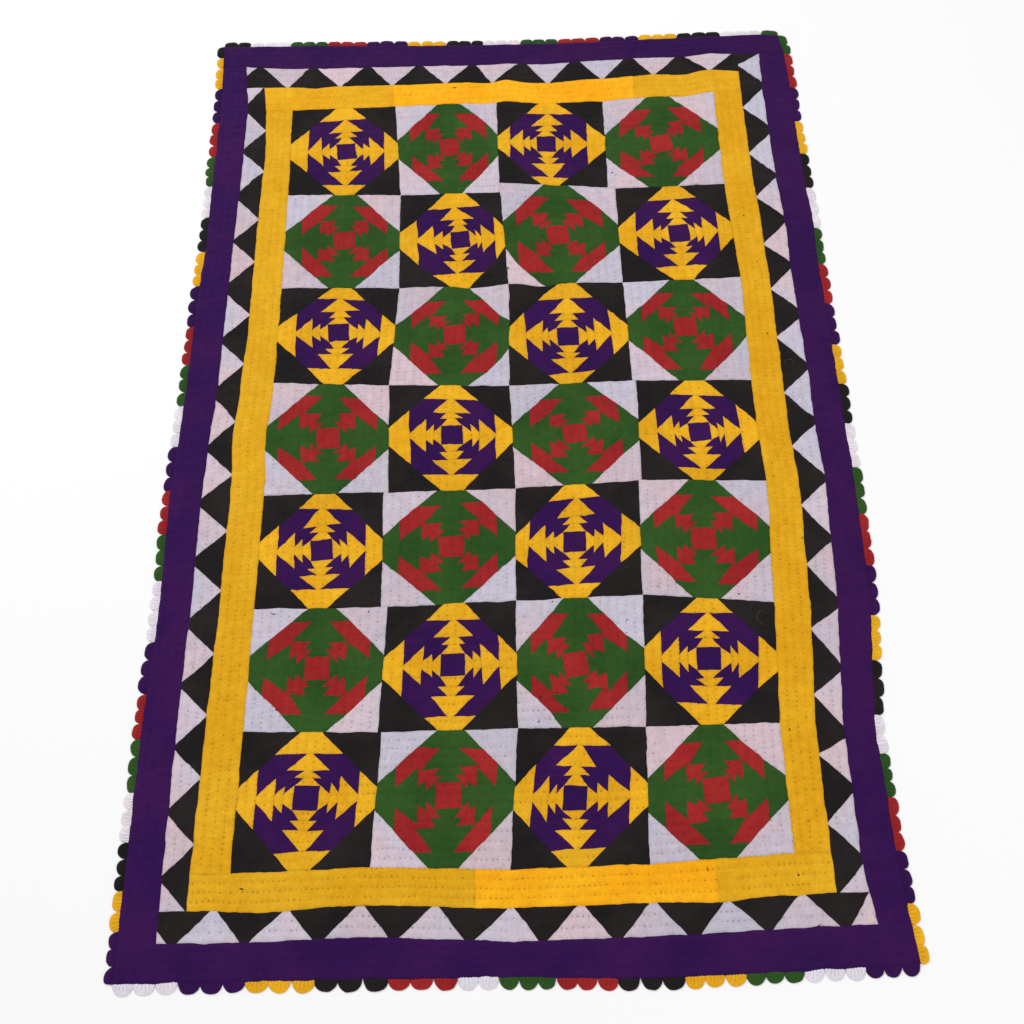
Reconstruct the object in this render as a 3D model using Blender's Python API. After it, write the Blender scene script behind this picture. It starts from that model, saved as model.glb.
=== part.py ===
"""A ralli quilt that lies flat and face up.

A field of four by seven pineapple blocks is framed by yellow strips, by strips of black and white
triangles and by purple strips, and edged with small cloth petals. Every piece has the whole
thickness of the quilt and a flat underside. Its stitched rows are furrows in its upper face, with
a ridge between each two. The quilt is 1.34 m wide and 2.09 m long, and as uneven as handwork is.
"""

from math import cos, pi, sin

import bmesh
import bpy
from mathutils import Vector

MM = 0.001

# Heights of the upper face above the floor
FURROW_HEIGHT = 3.6 * MM
RIDGE_HEIGHT = 5.0 * MM
EDGING_HEIGHT = 3.0 * MM

# Clear gap between neighbouring pieces, and the distance within which points are one
SEAM_GAP = 0.3 * MM
MERGE_DISTANCE = 0.01 * MM

# Spaces between stitched rows across one piece, about 16 mm each, and how near to a furrow or
# ridge a point counts as on it, as a share of half a space
BLOCK_SPACES = 15
NEAR_ROW = 0.1
FRAME_SPACES = {"yellow": 4, "triangle": 3, "purple": 4}

# Petals of the edging
PETAL_DEPTH = 19 * MM
PETAL_ROOT = 4 * MM
PETAL_STEPS = 5

# Where the seams of the field cross, in mm from the middle of the field. There is one line for
# each seam across, from the far edge to the near one. Columns: left edge, first, second and
# third seam between blocks, right edge, each as x and y.
CROSSINGS = (
    ((-472, 842), (-243, 841), (-20, 843), (214, 833), (459, 848)),
    ((-468, 604), (-227, 592), (-14, 591), (215, 592), (460, 590)),
    ((-467, 361), (-224, 351), (1, 353), (234, 345), (473, 348)),
    ((-469, 132), (-238, 118), (-1, 107), (241, 110), (472, 102)),
    ((-472, -119), (-235, -120), (7, -120), (246, -110), (478, -120)),
    ((-474, -351), (-241, -355), (4, -350), (234, -345), (469, -367)),
    ((-477, -582), (-240, -590), (3, -590), (226, -592), (456, -592)),
    ((-481, -827), (-247, -822), (-13, -831), (217, -827), (456, -815)),
)

# Crossings where the blocks don't meet in one point, by row and column from 0. The blocks on the
# side that is named have their corner here, and the others have theirs in the table above.
JOGS = {
    (1, 2): ("right", (-15, 615)),
    (1, 3): ("near", (230, 588)),
    (3, 3): ("near", (248, 109)),
    (4, 1): ("near", (-243, -119)),
    (4, 3): ("near", (240, -111)),
    (5, 1): ("near", (-229, -355)),
    (6, 1): ("near", (-234, -590)),
}

# Widths of the frames in mm beside each crossing on an edge of the field. The left and right
# sides run from far to near, the far and near sides from left to right.
# Columns: yellow, triangle, purple.
FRAME_WIDTHS = {
    "left": (
        (59, 41, 62),
        (60, 46, 62),
        (62, 49, 63),
        (67, 44, 64),
        (64, 55, 62),
        (65, 52, 60),
        (68, 50, 63),
        (67, 47, 64),
    ),
    "right": (
        (59, 48, 61),
        (62, 48, 60),
        (58, 46, 58),
        (61, 51, 56),
        (62, 49, 55),
        (64, 49, 59),
        (61, 47, 56),
        (61, 49, 57),
    ),
    "far": ((68, 54, 72), (63, 54, 66), (60, 50, 61), (65, 54, 59), (66, 46, 54)),
    "near": ((62, 50, 60), (62, 50, 66), (63, 52, 55), (63, 53, 65), (68, 51, 67)),
}

# Outer corners of the frames, as x and y in mm. Columns: yellow, triangle, purple.
FRAME_CORNERS = {
    ("far", "left"): ((-540, 912), (-585, 976), (-641, 1041)),
    ("far", "right"): ((520, 904), (568, 953), (622, 1013)),
    ("near", "right"): ((519, -880), (579, -931), (638, -994)),
    ("near", "left"): ((-549, -886), (-595, -937), (-661, -1000)),
}

# Which strip of a frame runs through at a corner, where it isn't the far or near one
CORNERS_OF_SIDE_STRIPS = {("triangle", "far", "right")}

# Groups of petals along each side: how many petals, and the length of the group in mm
PETAL_GROUPS = {
    "left": (
        (1, 33), (3, 92), (3, 100), (3, 96), (3, 84), (3, 83), (3, 91), (3, 88),
        (3, 99), (3, 92), (3, 95), (3, 93), (3, 97), (3, 92), (3, 95), (4, 120),
        (3, 98), (3, 83), (3, 96), (3, 85), (3, 80), (2, 65), (3, 84),
    ),
    "right": (
        (2, 61), (3, 100), (3, 97), (3, 88), (3, 94), (3, 104), (3, 94), (3, 96),
        (3, 100), (3, 90), (3, 90), (3, 95), (3, 98), (3, 104), (3, 97), (3, 87),
        (3, 100), (2, 68), (3, 74), (3, 91), (3, 86), (3, 93),
    ),
    "far": (
        (2, 61), (3, 93), (3, 85), (3, 89), (3, 94), (3, 88), (3, 83), (3, 84),
        (3, 84), (3, 94), (3, 89), (3, 87), (3, 97), (3, 93), (1, 42),
    ),
    "near": (
        (3, 108), (3, 110), (3, 112), (3, 118), (3, 112), (2, 67), (3, 92),
        (3, 99), (3, 105), (3, 98), (3, 93), (3, 97), (3, 88),
    ),
}

# Colours of the cloths
CLOTHS = {
    "dark_block": (0.030, 0.018, 0.040),
    "light_block": (0.55, 0.48, 0.55),
    "yellow": (0.72, 0.42, 0.03),
    "triangle": (0.25, 0.22, 0.25),
    "purple": (0.035, 0.008, 0.085),
    "edging": (0.10, 0.05, 0.08),
}
CLOTH_ROUGHNESS = 0.92

FRAMES = ("yellow", "triangle", "purple")
OUTWARD = {
    "left": Vector((-1, 0)),
    "right": Vector((1, 0)),
    "far": Vector((0, 1)),
    "near": Vector((0, -1)),
}


def clear_scene():
    for obj in list(bpy.data.objects):
        bpy.data.objects.remove(obj)


def cloth(name):
    """A matt cotton in one of the colours above, made once."""
    found = bpy.data.materials.get(name)
    if found:
        return found
    material = bpy.data.materials.new(name)
    material.use_nodes = True
    shader = material.node_tree.nodes["Principled BSDF"]
    shader.inputs["Base Color"].default_value = (*CLOTHS[name], 1)
    shader.inputs["Roughness"].default_value = CLOTH_ROUGHNESS
    shader.inputs["Metallic"].default_value = 0
    return material


def add_object(name, bm, cloth_name):
    """Turns a bmesh into an object of the scene, closed and facing out."""
    bmesh.ops.remove_doubles(bm, verts=bm.verts, dist=MERGE_DISTANCE)
    bmesh.ops.recalc_face_normals(bm, faces=bm.faces)
    mesh = bpy.data.meshes.new(name)
    bm.to_mesh(mesh)
    bm.free()
    mesh.materials.append(cloth(cloth_name))
    obj = bpy.data.objects.new(name, mesh)
    bpy.context.scene.collection.objects.link(obj)
    return obj


def point(pair):
    """A place in the tables as a vector in metres."""
    return Vector(pair) * MM


def crossing(row, column):
    """Where the far left, far right, near right and near left block have their corner."""
    first = CROSSINGS[row][column]
    side, second = JOGS.get((row, column), ("near", first))
    if side == "near":
        return point(first), point(first), point(second), point(second)
    return point(first), point(second), point(second), point(first)


def seam_across(row, column):
    """The straight seam from one crossing to the next one of its row, from left to right."""
    left, right = crossing(row, column), crossing(row, column + 1)
    return max(left[1:3], key=lambda p: p.x), min(right[0], right[3], key=lambda p: p.x)


def seam_lengthwise(row, column):
    """The straight seam from one crossing to the next one of its column, from far to near."""
    far, near = crossing(row, column), crossing(row + 1, column)
    return min(far[2:4], key=lambda p: p.y), max(near[0:2], key=lambda p: p.y)


def field_edge(side):
    """The corners of the blocks along one side of the field."""
    if side == "left":
        return [point(row[0]) for row in CROSSINGS]
    if side == "right":
        return [point(row[-1]) for row in CROSSINGS]
    if side == "far":
        return [point(pair) for pair in CROSSINGS[0]]
    return [point(pair) for pair in CROSSINGS[-1]]


def ends_of(side):
    """The two corners that a side runs between, in the order of its table."""
    if side in ("left", "right"):
        return ("far", side), ("near", side)
    return (side, "left"), (side, "right")


def frame_stations(side, frame):
    """The outer edge of a frame beside each crossing, without its corners."""
    count = FRAMES.index(frame) + 1
    widths = FRAME_WIDTHS[side]
    return [
        start + OUTWARD[side] * sum(row[:count]) * MM
        for start, row in zip(field_edge(side), widths)
    ]


def frame_corner(corner, frame):
    return point(FRAME_CORNERS[corner][FRAMES.index(frame)])


def frame_edge(side, frame):
    """The whole outer edge of a frame along one side, from corner to corner."""
    first, last = ends_of(side)
    stations = frame_stations(side, frame)
    return [frame_corner(first, frame), *stations, frame_corner(last, frame)]


def level_with(edge, axis, value):
    """The point of an edge whose x (axis 0) or y (axis 1) is the value."""
    for start, end in zip(edge, edge[1:]):
        low, high = sorted((start[axis], end[axis]))
        if low <= value <= high:
            return start.lerp(end, (value - start[axis]) / (end[axis] - start[axis]))
    return edge[0] if abs(edge[0][axis] - value) < abs(edge[-1][axis] - value) else edge[-1]


def beside(side, frame, corner):
    """Where a frame's outer edge is level with the corner of what it frames."""
    index = FRAMES.index(frame)
    if index == 0:
        stations = frame_stations(side, frame)
        return stations[0] if ends_of(side)[0] == corner else stations[-1]
    inner = frame_corner(corner, FRAMES[index - 1])
    axis = 1 if side in ("left", "right") else 0
    return level_with(frame_edge(side, frame), axis, inner[axis])


def runs_through(side, frame, corner):
    """Whether this side's strip of the frame fills the corner."""
    is_side_strip = side in ("left", "right")
    return is_side_strip == ((frame, *corner) in CORNERS_OF_SIDE_STRIPS)


def other_side(side, corner):
    """The side that meets this one at the corner."""
    return corner[1] if side in ("far", "near") else corner[0]


def strip_edges(side, frame):
    """The inner and outer edges of one strip, as lists of matching points."""
    index = FRAMES.index(frame)
    first, last = ends_of(side)
    outer = frame_stations(side, frame)
    inner = field_edge(side)
    if index > 0:
        inner = frame_edge(side, FRAMES[index - 1])
        outer = [beside(side, frame, first), *outer, beside(side, frame, last)]
    if runs_through(side, frame, first):
        inner.insert(0, beside(other_side(side, first), frame, first))
        outer.insert(0, frame_corner(first, frame))
    if runs_through(side, frame, last):
        inner.append(beside(other_side(side, last), frame, last))
        outer.append(frame_corner(last, frame))
    return inner, outer


def drawn_in(edges):
    """Two matching edges, each drawn in by half a seam gap, at their ends too."""
    pairs = [
        (a + (b - a).normalized() * SEAM_GAP / 2, b + (a - b).normalized() * SEAM_GAP / 2)
        for a, b in zip(*edges)
    ]
    for end, following in ((0, 1), (-1, -2)):
        pairs[end] = tuple(
            p + (q - p).normalized() * SEAM_GAP / 2
            for p, q in zip(pairs[end], pairs[following])
        )
    return pairs


def quilted_slab(name, lines, cloth_name):
    """A slab whose upper face has a furrow on every even line and a ridge on every odd one.

    All lines have as many points, and run from one end of the slab to the other. Both ends are
    straight.
    """
    bm = bmesh.new()
    top = [
        [bm.verts.new((*p, RIDGE_HEIGHT if k % 2 else FURROW_HEIGHT)) for p in line]
        for k, line in enumerate(lines)
    ]
    first_low = [bm.verts.new((*p, 0)) for p in lines[0]]
    last_low = [bm.verts.new((*p, 0)) for p in lines[-1]]
    for near, far in zip(top, top[1:]):
        for j in range(len(near) - 1):
            bm.faces.new((near[j], near[j + 1], far[j + 1], far[j]))
    for upper, lower in ((top[0], first_low), (top[-1], last_low)):
        for j in range(len(upper) - 1):
            bm.faces.new((upper[j], upper[j + 1], lower[j + 1], lower[j]))
    for j in (0, -1):
        bm.faces.new([first_low[j], *(line[j] for line in top), last_low[j]])
    bm.faces.new(first_low + last_low[::-1])
    return add_object(name, bm, cloth_name)


def block_corners(row, column):
    """Near right, far right, far left and near left corners."""
    return (
        crossing(row + 1, column + 1)[0],
        crossing(row, column + 1)[3],
        crossing(row, column)[2],
        crossing(row + 1, column)[1],
    )


def block_outline(row, column):
    """The corners of a block and the bends of its sides, anticlockwise from the near right."""
    corners = block_corners(row, column)
    seams = (
        seam_lengthwise(row, column + 1)[::-1],
        seam_across(row, column)[::-1],
        seam_lengthwise(row, column),
        seam_across(row + 1, column),
    )
    outline = []
    for corner, seam, following in zip(corners, seams, corners[1:] + corners[:1]):
        outline.append(corner)
        outline += [p for p in seam if p not in (corner, following)]
    return outline


def inset(outline):
    """An anticlockwise outline, moved inwards by half a seam gap on every side."""
    moved = []
    for i, place in enumerate(outline):
        before = (place - outline[i - 1]).normalized()
        after = (outline[(i + 1) % len(outline)] - place).normalized()
        first, second = Vector((-before.y, before.x)), Vector((-after.y, after.x))
        moved.append(place + (first + second) / (1 + first.dot(second)) * SEAM_GAP / 2)
    return moved


def stitched_families(row, column):
    """The rows of one block, which follow the nearest side of the quilt.

    A family of rows goes from its first edge to its last one. On the quilt's diagonals a block has
    two, and their last edge is the corner inside.
    """
    rows, columns = len(CROSSINGS) - 1, len(CROSSINGS[0]) - 1
    from_side = min(column, columns - 1 - column)
    from_end = min(row, rows - 1 - row)
    corners = block_corners(row, column)
    if from_end == from_side:
        outer = (row == from_end, column == from_side)
        first = {(False, False): 0, (True, False): 1, (True, True): 2, (False, True): 3}[outer]
        corner, following, inside, previous = (corners[(first + i) % 4] for i in range(4))
        return [((corner, following), (inside, inside)), ((corner, previous), (inside, inside))]
    near_right, far_right, far_left, near_left = corners
    if from_end < from_side:
        return [((far_left, far_right), (near_left, near_right))]
    return [((far_left, near_left), (far_right, near_right))]


def distance_to_line(place, through, way):
    """How far a place lies from the line through another one."""
    return abs(way.normalized().cross(place - through))


def share_of(place, family):
    """How far a place lies between the first and the last edge of a family."""
    first, last = family
    way = first[1] - first[0]
    before = distance_to_line(place, first[0], way)
    after = distance_to_line(place, last[0], last[1] - last[0] if last[0] != last[1] else way)
    return before / (before + after)


def row_height(share):
    """The height of a block's upper face, on or between its rows."""
    steps = share * 2 * BLOCK_SPACES
    if abs(steps - round(steps)) < NEAR_ROW:
        steps = round(steps)
    rise = 1 - abs(1 - steps % 2)
    return FURROW_HEIGHT + (RIDGE_HEIGHT - FURROW_HEIGHT) * rise


def cut(bm, faces, start, end):
    """Cuts upright through some faces along a line."""
    parts = {item for face in faces for item in (face, *face.edges, *face.verts)}
    across = (start.y - end.y, end.x - start.x, 0)
    place = (*start, 0)
    bmesh.ops.bisect_plane(
        bm, geom=list(parts), dist=MERGE_DISTANCE, plane_co=place, plane_no=across
    )


def upper_faces(bm):
    """The faces of a slab that lie wholly above its underside."""
    return [face for face in bm.faces if all(v.co.z > FURROW_HEIGHT / 2 for v in face.verts)]


def faces_of_family(bm, families, family):
    """The upper faces where this family's rows are the nearest."""
    found = []
    for face in upper_faces(bm):
        middle = face.calc_center_median().xy
        if min(families, key=lambda other: share_of(middle, other)) is family:
            found.append(face)
    return found


def build_block(row, column):
    outline = inset(block_outline(row, column))
    families = stitched_families(row, column)
    bm = bmesh.new()
    base = bm.faces.new([bm.verts.new((*p, 0)) for p in outline])
    raised = bmesh.ops.extrude_face_region(bm, geom=[base], use_keep_orig=True)
    upper = [item for item in raised["geom"] if isinstance(item, bmesh.types.BMVert)]
    bmesh.ops.translate(bm, verts=upper, vec=(0, 0, FURROW_HEIGHT))
    if len(families) > 1:
        first, last = families[0]
        cut(bm, upper_faces(bm), first[0], last[0])
    steps = 2 * BLOCK_SPACES
    for family in families:
        (a, b), (c, d) = family
        for k in range(1, steps):
            share = k / steps
            cut(bm, faces_of_family(bm, families, family), a.lerp(c, share), b.lerp(d, share))
    for vert in bm.verts:
        if vert.co.z > FURROW_HEIGHT / 2:
            vert.co.z = row_height(min(share_of(vert.co.xy, f) for f in families))
    cloth_name = "light_block" if (row + column) % 2 else "dark_block"
    add_object(f"block_{row + 1}_{column + 1}", bm, cloth_name)


def build_strip(side, frame):
    pairs = drawn_in(strip_edges(side, frame))
    steps = 2 * FRAME_SPACES[frame]
    lines = [[a.lerp(b, k / steps) for a, b in pairs] for k in range(steps + 1)]
    quilted_slab(f"{frame}_{side}", lines, frame)


def along(edge, distance):
    """The point of an edge at a distance from its start."""
    for start, end in zip(edge, edge[1:]):
        length = (end - start).length
        if distance <= length:
            return start.lerp(end, distance / length)
        distance -= length
    return edge[-1].copy()


def petal_outline(edge, groups, outward):
    """The scalloped outer edge of one side, one arc for each petal."""
    length = sum((b - a).length for a, b in zip(edge, edge[1:]))
    scale = length / sum(run for _, run in groups)
    points = []
    start = 0
    for count, run in groups:
        width = run * scale / count
        for _ in range(count):
            middle = start + width / 2
            for step in range(PETAL_STEPS):
                angle = pi * step / PETAL_STEPS
                reach = PETAL_ROOT + (PETAL_DEPTH - PETAL_ROOT) * sin(angle)
                place = along(edge, middle - cos(angle) * width / 2)
                points.append(place + outward * reach)
            start += width
    points.append(along(edge, length) + outward * PETAL_ROOT)
    return points


def build_edging(side):
    """All petals of one side, fused at their root."""
    outward = OUTWARD[side]
    edge = frame_edge(side, "purple")
    first, last = edge[0], edge[-1]
    edge = [p + outward * SEAM_GAP / 2 for p in edge]
    edge[0] = edge[0] + (last - first).normalized() * SEAM_GAP
    edge[-1] = edge[-1] + (first - last).normalized() * SEAM_GAP
    outline = petal_outline(edge, PETAL_GROUPS[side], outward) + edge[::-1]
    bm = bmesh.new()
    base = bm.faces.new([bm.verts.new((*p, 0)) for p in outline])
    raised = bmesh.ops.extrude_face_region(bm, geom=[base], use_keep_orig=True)
    upper = [item for item in raised["geom"] if isinstance(item, bmesh.types.BMVert)]
    bmesh.ops.translate(bm, verts=upper, vec=(0, 0, EDGING_HEIGHT))
    add_object(f"edging_{side}", bm, "edging")


def centre_on_origin():
    """Moves every mesh so that the middle of the whole quilt's underside is the origin."""
    vertices = [v for obj in bpy.data.objects for v in obj.data.vertices]
    middle = Vector((0, 0, 0))
    for axis in (0, 1):
        places = [v.co[axis] for v in vertices]
        middle[axis] = (min(places) + max(places)) / 2
    for vertex in vertices:
        vertex.co -= middle


def main():
    clear_scene()
    for row in range(len(CROSSINGS) - 1):
        for column in range(len(CROSSINGS[0]) - 1):
            build_block(row, column)
    for side in OUTWARD:
        for frame in FRAMES:
            build_strip(side, frame)
        build_edging(side)
    centre_on_origin()


main()
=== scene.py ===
"""The looks of a ralli quilt that lies flat and face up.

Each piece of cloth is a closed shell on its solid's form. Its upper face has the patches, their
seams, the quilted rows and the puckers that the stitches draw, and its back is flat. Plans are in
mm from the middle of the field of blocks, and one shift takes them to the frame.
"""

from math import ceil, cos, floor, pi, radians, sin

import bpy
import numpy as np
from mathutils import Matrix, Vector
from mathutils.geometry import delaunay_2d_cdt


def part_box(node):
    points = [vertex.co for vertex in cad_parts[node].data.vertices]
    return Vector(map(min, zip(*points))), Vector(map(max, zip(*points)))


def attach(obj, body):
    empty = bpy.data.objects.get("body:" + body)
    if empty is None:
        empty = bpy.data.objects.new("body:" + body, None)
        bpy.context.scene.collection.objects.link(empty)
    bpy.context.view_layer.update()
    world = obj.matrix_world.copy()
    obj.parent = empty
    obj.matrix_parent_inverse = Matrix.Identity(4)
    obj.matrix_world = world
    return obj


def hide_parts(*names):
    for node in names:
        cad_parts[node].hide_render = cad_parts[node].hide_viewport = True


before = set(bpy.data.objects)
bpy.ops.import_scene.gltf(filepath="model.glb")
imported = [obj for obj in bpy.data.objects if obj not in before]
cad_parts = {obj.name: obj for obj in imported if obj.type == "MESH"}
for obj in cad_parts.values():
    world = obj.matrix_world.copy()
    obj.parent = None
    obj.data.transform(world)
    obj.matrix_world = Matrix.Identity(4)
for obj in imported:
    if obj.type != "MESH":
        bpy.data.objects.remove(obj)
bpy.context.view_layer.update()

MM = 0.001

# Camera, in mm from the middle of the field, and its turn in degrees
CAMERA_PLACE = (72.5, -1297.3, 2267.8)
CAMERA_TURN = (26.43, 2.27, -0.86)
CAMERA_LENS = 47.46
CAMERA_SENSOR = 36

# Heights of the upper face above the floor, in mm
FURROW_HEIGHT = 3.9
RIDGE_HEIGHT = 4.5
SEAM_HEIGHT = 3.6
HEM_HEIGHT = 2.4

# Spacing of the mesh points, and how near to a seam line a free point may lie
MESH_PITCH = 3.2
MESH_ROW = 2.8
SEAM_CLEARANCE = 1.3
JOIN_DISTANCE = 1e-4
ON_LINE = 1e-3
SHORTEST_SEGMENT = 0.01
SHARP_ANGLE = 55

# First number of the uneven values of each kind of piece
BLOCK_SEED = 100
STRIP_SEED = 200
PETAL_SEED = 500

# Spaces between stitched rows across one piece
BLOCK_SPACES = 15
FRAME_SPACES = {"yellow": 4, "triangle": 3, "purple": 4}
ROW_SPACING = 15.7
ROW_BESIDE_SEAM = 0.1
ROW_BESIDE_HEM = 0.2

# Running stitch
STITCH_PITCH = 9.0
STITCH_LENGTH = 2.4
STITCH_WIDTH = 1.0
STITCH_HEIGHT = 0.6
STITCH_UNEVENNESS = 0.25
STITCH_WANDER = 0.8
STITCH_WANDER_LENGTH = 7
STITCH_SINK = 0.7
WEAK_STITCH_SINK = 0.65
ROW_WANDER = 0.7
ROW_WANDER_LENGTH = 35
ROW_END = 2
LOOK_AHEAD = 2

# Relief of the cloth between the stitches
PIT_DEPTH = 0.9
PIT_SPREAD = 2.2
WEAKEST_PIT = 0.25
DRAWN_AT_FAR_END = 0.75
DRAWN_AT_NEAR_END = 1.25
PUCKER_HEIGHT = 1.0
PUCKER_LENGTH = 7.5
PUCKER_IN_FURROW = 0.35
SWELL_HEIGHT = 0.5
SWELL_LENGTH = 42
SWELL_SEED = 11
CREST_POWER = 0.7
SEAM_DIP = 0.45
SEAM_SPREAD = 1.6
EDGE_FALL = 2.6
HEM_FALL = 4.5

# The waves that make up the puckers. Columns: strength, how many times finer than
# PUCKER_LENGTH, and how much of a wave goes from one row to the next.
PUCKER_WAVES = ((1.0, 1.0, 0.9), (0.6, 2.1, 1.7))

# How hand-sewn lines wander in the plan: the length of a wave and how far it goes
WANDERS = ((27, 1.1), (9, 0.65))
WANDER_SEEDS = (31, 41)

# Where sewn lines bow between the crossings. Columns, in mm: place, how far the cloth is pulled
# there, and how far the pull reaches to the left and right and to the far and near.
PULLS = (
    ((590, 500), (4.5, 0), (75, 80)),
    ((555, 0), (-3.5, 0), (75, 75)),
    ((478, -190), (3, 0), (30, 50)),
    ((575, -850), (-3, 0), (25, 45)),
    ((620, -630), (-2.6, 0), (25, 40)),
    ((622, 1012), (-7, -4), (25, 35)),
    ((-425, 905), (0, -5), (25, 25)),
    ((-45, 880), (0, -4.5), (28, 60)),
    ((5, 900), (0, 4.5), (24, 75)),
    ((92, 885), (0, -8.5), (65, 75)),
    ((392, 895), (0, -9), (38, 75)),
    ((-527, 720), (4.7, 0), (30, 80)),
    ((-530, 240), (3, 0), (30, 90)),
    ((-637, 490), (4, 0), (25, 90)),
    ((-500, 5), (-7, 0), (75, 55)),
    ((-415, -891), (0, -4), (60, 22)),
    ((325, -890), (0, -4), (60, 22)),
    ((-678, -950), (3, 0), (25, 60)),
    ((-70, 347), (0, -8), (48, 20)),
    ((66, 352), (0, -8), (36, 18)),
)

# Where the seams of the field cross, as in the solids. There is one line for each seam across,
# from the far edge to the near one. Columns: left edge, three seams between blocks, right edge.
CROSSINGS = (
    ((-472, 842), (-243, 841), (-20, 843), (214, 833), (459, 848)),
    ((-468, 604), (-227, 592), (-14, 591), (215, 592), (460, 590)),
    ((-467, 361), (-224, 351), (1, 353), (234, 345), (473, 348)),
    ((-469, 132), (-238, 118), (-1, 107), (241, 110), (472, 102)),
    ((-472, -119), (-235, -120), (7, -120), (246, -110), (478, -120)),
    ((-474, -351), (-241, -355), (4, -350), (234, -345), (469, -367)),
    ((-477, -582), (-240, -590), (3, -590), (226, -592), (456, -592)),
    ((-481, -827), (-247, -822), (-13, -831), (217, -827), (456, -815)),
)

# Crossings where the blocks don't meet in one point, by row and column from 0. The blocks on the
# side that is named have their corner here, and the others have theirs in the table above.
JOGS = {
    (1, 2): ("right", (-15, 615)),
    (1, 3): ("near", (230, 588)),
    (3, 3): ("near", (248, 109)),
    (4, 1): ("near", (-243, -119)),
    (4, 3): ("near", (240, -111)),
    (5, 1): ("near", (-229, -355)),
    (6, 1): ("near", (-234, -590)),
}

# Widths of the frames beside each crossing on an edge of the field. The left and right sides run
# from far to near, the far and near sides from left to right. Columns: yellow, triangle, purple.
FRAME_WIDTHS = {
    "left": (
        (59, 41, 62), (60, 46, 62), (62, 49, 63), (67, 44, 64),
        (64, 55, 62), (65, 52, 60), (68, 50, 63), (67, 47, 64),
    ),
    "right": (
        (59, 48, 61), (62, 48, 60), (58, 46, 58), (61, 51, 56),
        (62, 49, 55), (64, 49, 59), (61, 47, 56), (61, 49, 57),
    ),
    "far": ((68, 54, 72), (63, 54, 66), (60, 50, 61), (65, 54, 59), (66, 46, 54)),
    "near": ((62, 50, 60), (62, 50, 66), (63, 52, 55), (63, 53, 65), (68, 51, 67)),
}

# Outer corners of the frames. Columns: yellow, triangle, purple.
FRAME_CORNERS = {
    ("far", "left"): ((-540, 912), (-585, 976), (-641, 1041)),
    ("far", "right"): ((520, 904), (568, 953), (622, 1013)),
    ("near", "right"): ((519, -880), (579, -931), (638, -994)),
    ("near", "left"): ((-549, -886), (-595, -937), (-661, -1000)),
}
CORNERS_OF_SIDE_STRIPS = {("triangle", "far", "right")}

# The patchwork of the blocks, in thousandths of the block's side. Columns: right and far offset
# of the centre square, its twist in degrees, and how far the last seam across lies from the
# block's middle on the right, far, left and near side.
BLOCKS = (
    (
        (21, -8, 4, 371, 358, 334, 387), (16, 8, 4, 390, 390, 368, 363),
        (-47, -16, 0, 332, 355, 384, 410), (-10, -34, 8, 352, 363, 368, 404),
    ),
    (
        (16, 5, 4, 395, 376, 355, 380), (79, -13, 4, 410, 340, 330, 375),
        (-32, -13, 6, 368, 368, 390, 390), (29, -13, 2, 374, 353, 345, 360),
    ),
    (
        (21, 29, 6, 374, 380, 345, 342), (24, 3, 4, 400, 342, 355, 380),
        (-3, -42, 2, 356, 337, 358, 400), (-10, 24, 2, 368, 363, 374, 395),
    ),
    (
        (-3, 0, 3, 395, 380, 408, 374), (10, 21, 1, 363, 363, 330, 355),
        (-5, -3, 5, 355, 353, 355, 380), (5, -26, 4, 348, 347, 345, 387),
    ),
    (
        (5, -3, 5, 360, 360, 353, 342), (18, -5, 1, 363, 374, 376, 374),
        (-29, -16, 0, 345, 368, 397, 384), (-10, -3, 2, 403, 368, 387, 374),
    ),
    (
        (10, 3, 1, 387, 387, 376, 363), (24, 8, 1, 374, 370, 353, 395),
        (-37, -24, 7, 363, 374, 384, 376), (-13, 13, 0, 363, 380, 368, 342),
    ),
    (
        (-3, 13, -1, 368, 334, 363, 370), (24, 21, 3, 355, 368, 363, 390),
        (-42, -16, -4, 368, 366, 360, 379), (-5, 3, 3, 355, 368, 376, 395),
    ),
)

# Corners of the patchwork that were sewn wider or narrower than the others, in thousandths of the
# block's side. Columns: row and column of the block, corner (0 far right, 1 far left, 2 near left,
# 3 near right), how much wider at the block's sides, and how much at the last seams.
WIDE_CORNERS = (
    (0, 1, 0, 20, 50), (0, 3, 2, 43, 62), (1, 1, 0, 40, 50), (1, 1, 1, 20, 0), (1, 1, 2, 0, 30),
    (1, 1, 3, 15, 45), (1, 2, 0, 0, 20), (1, 2, 2, 55, 100), (2, 1, 0, 30, 0), (2, 1, 1, 0, -20),
    (2, 1, 3, 45, 65), (4, 1, 0, 0, 15), (4, 2, 2, 45, 45), (4, 2, 3, 0, -20), (5, 2, 0, -15, -30),
    (5, 2, 2, 20, 0), (6, 3, 0, -20, -30), (6, 3, 2, 40, 35),
)

# Rounds of one block, in shares of its side. "share" is how far a round's seam lies between the
# centre square and the last one. "base" and "end" are half the width of an arrowhead there.
ROUNDS = {
    "dark": {
        "share": (0, 0.25, 0.49, 1),
        "base": (0.09, 0.100, 0.158, 0.215),
        "end": (0.033, 0.032, 0.018, 0.080),
    },
    "light": {
        "share": (0, 0.20, 0.43, 1),
        "base": (0.095, 0.107, 0.207, 0.226),
        "end": (0.046, 0.072, 0.072, 0.106),
    },
}
BASE_TILT = 3.5
SEAM_SHAKE = 0.010
SHARE_SHAKE = 0.025
CORNER_SHAKE = 0.006
DRIFT_OF_LAST_ROUND = 0.5
NARROWEST_END = 0.006

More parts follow.
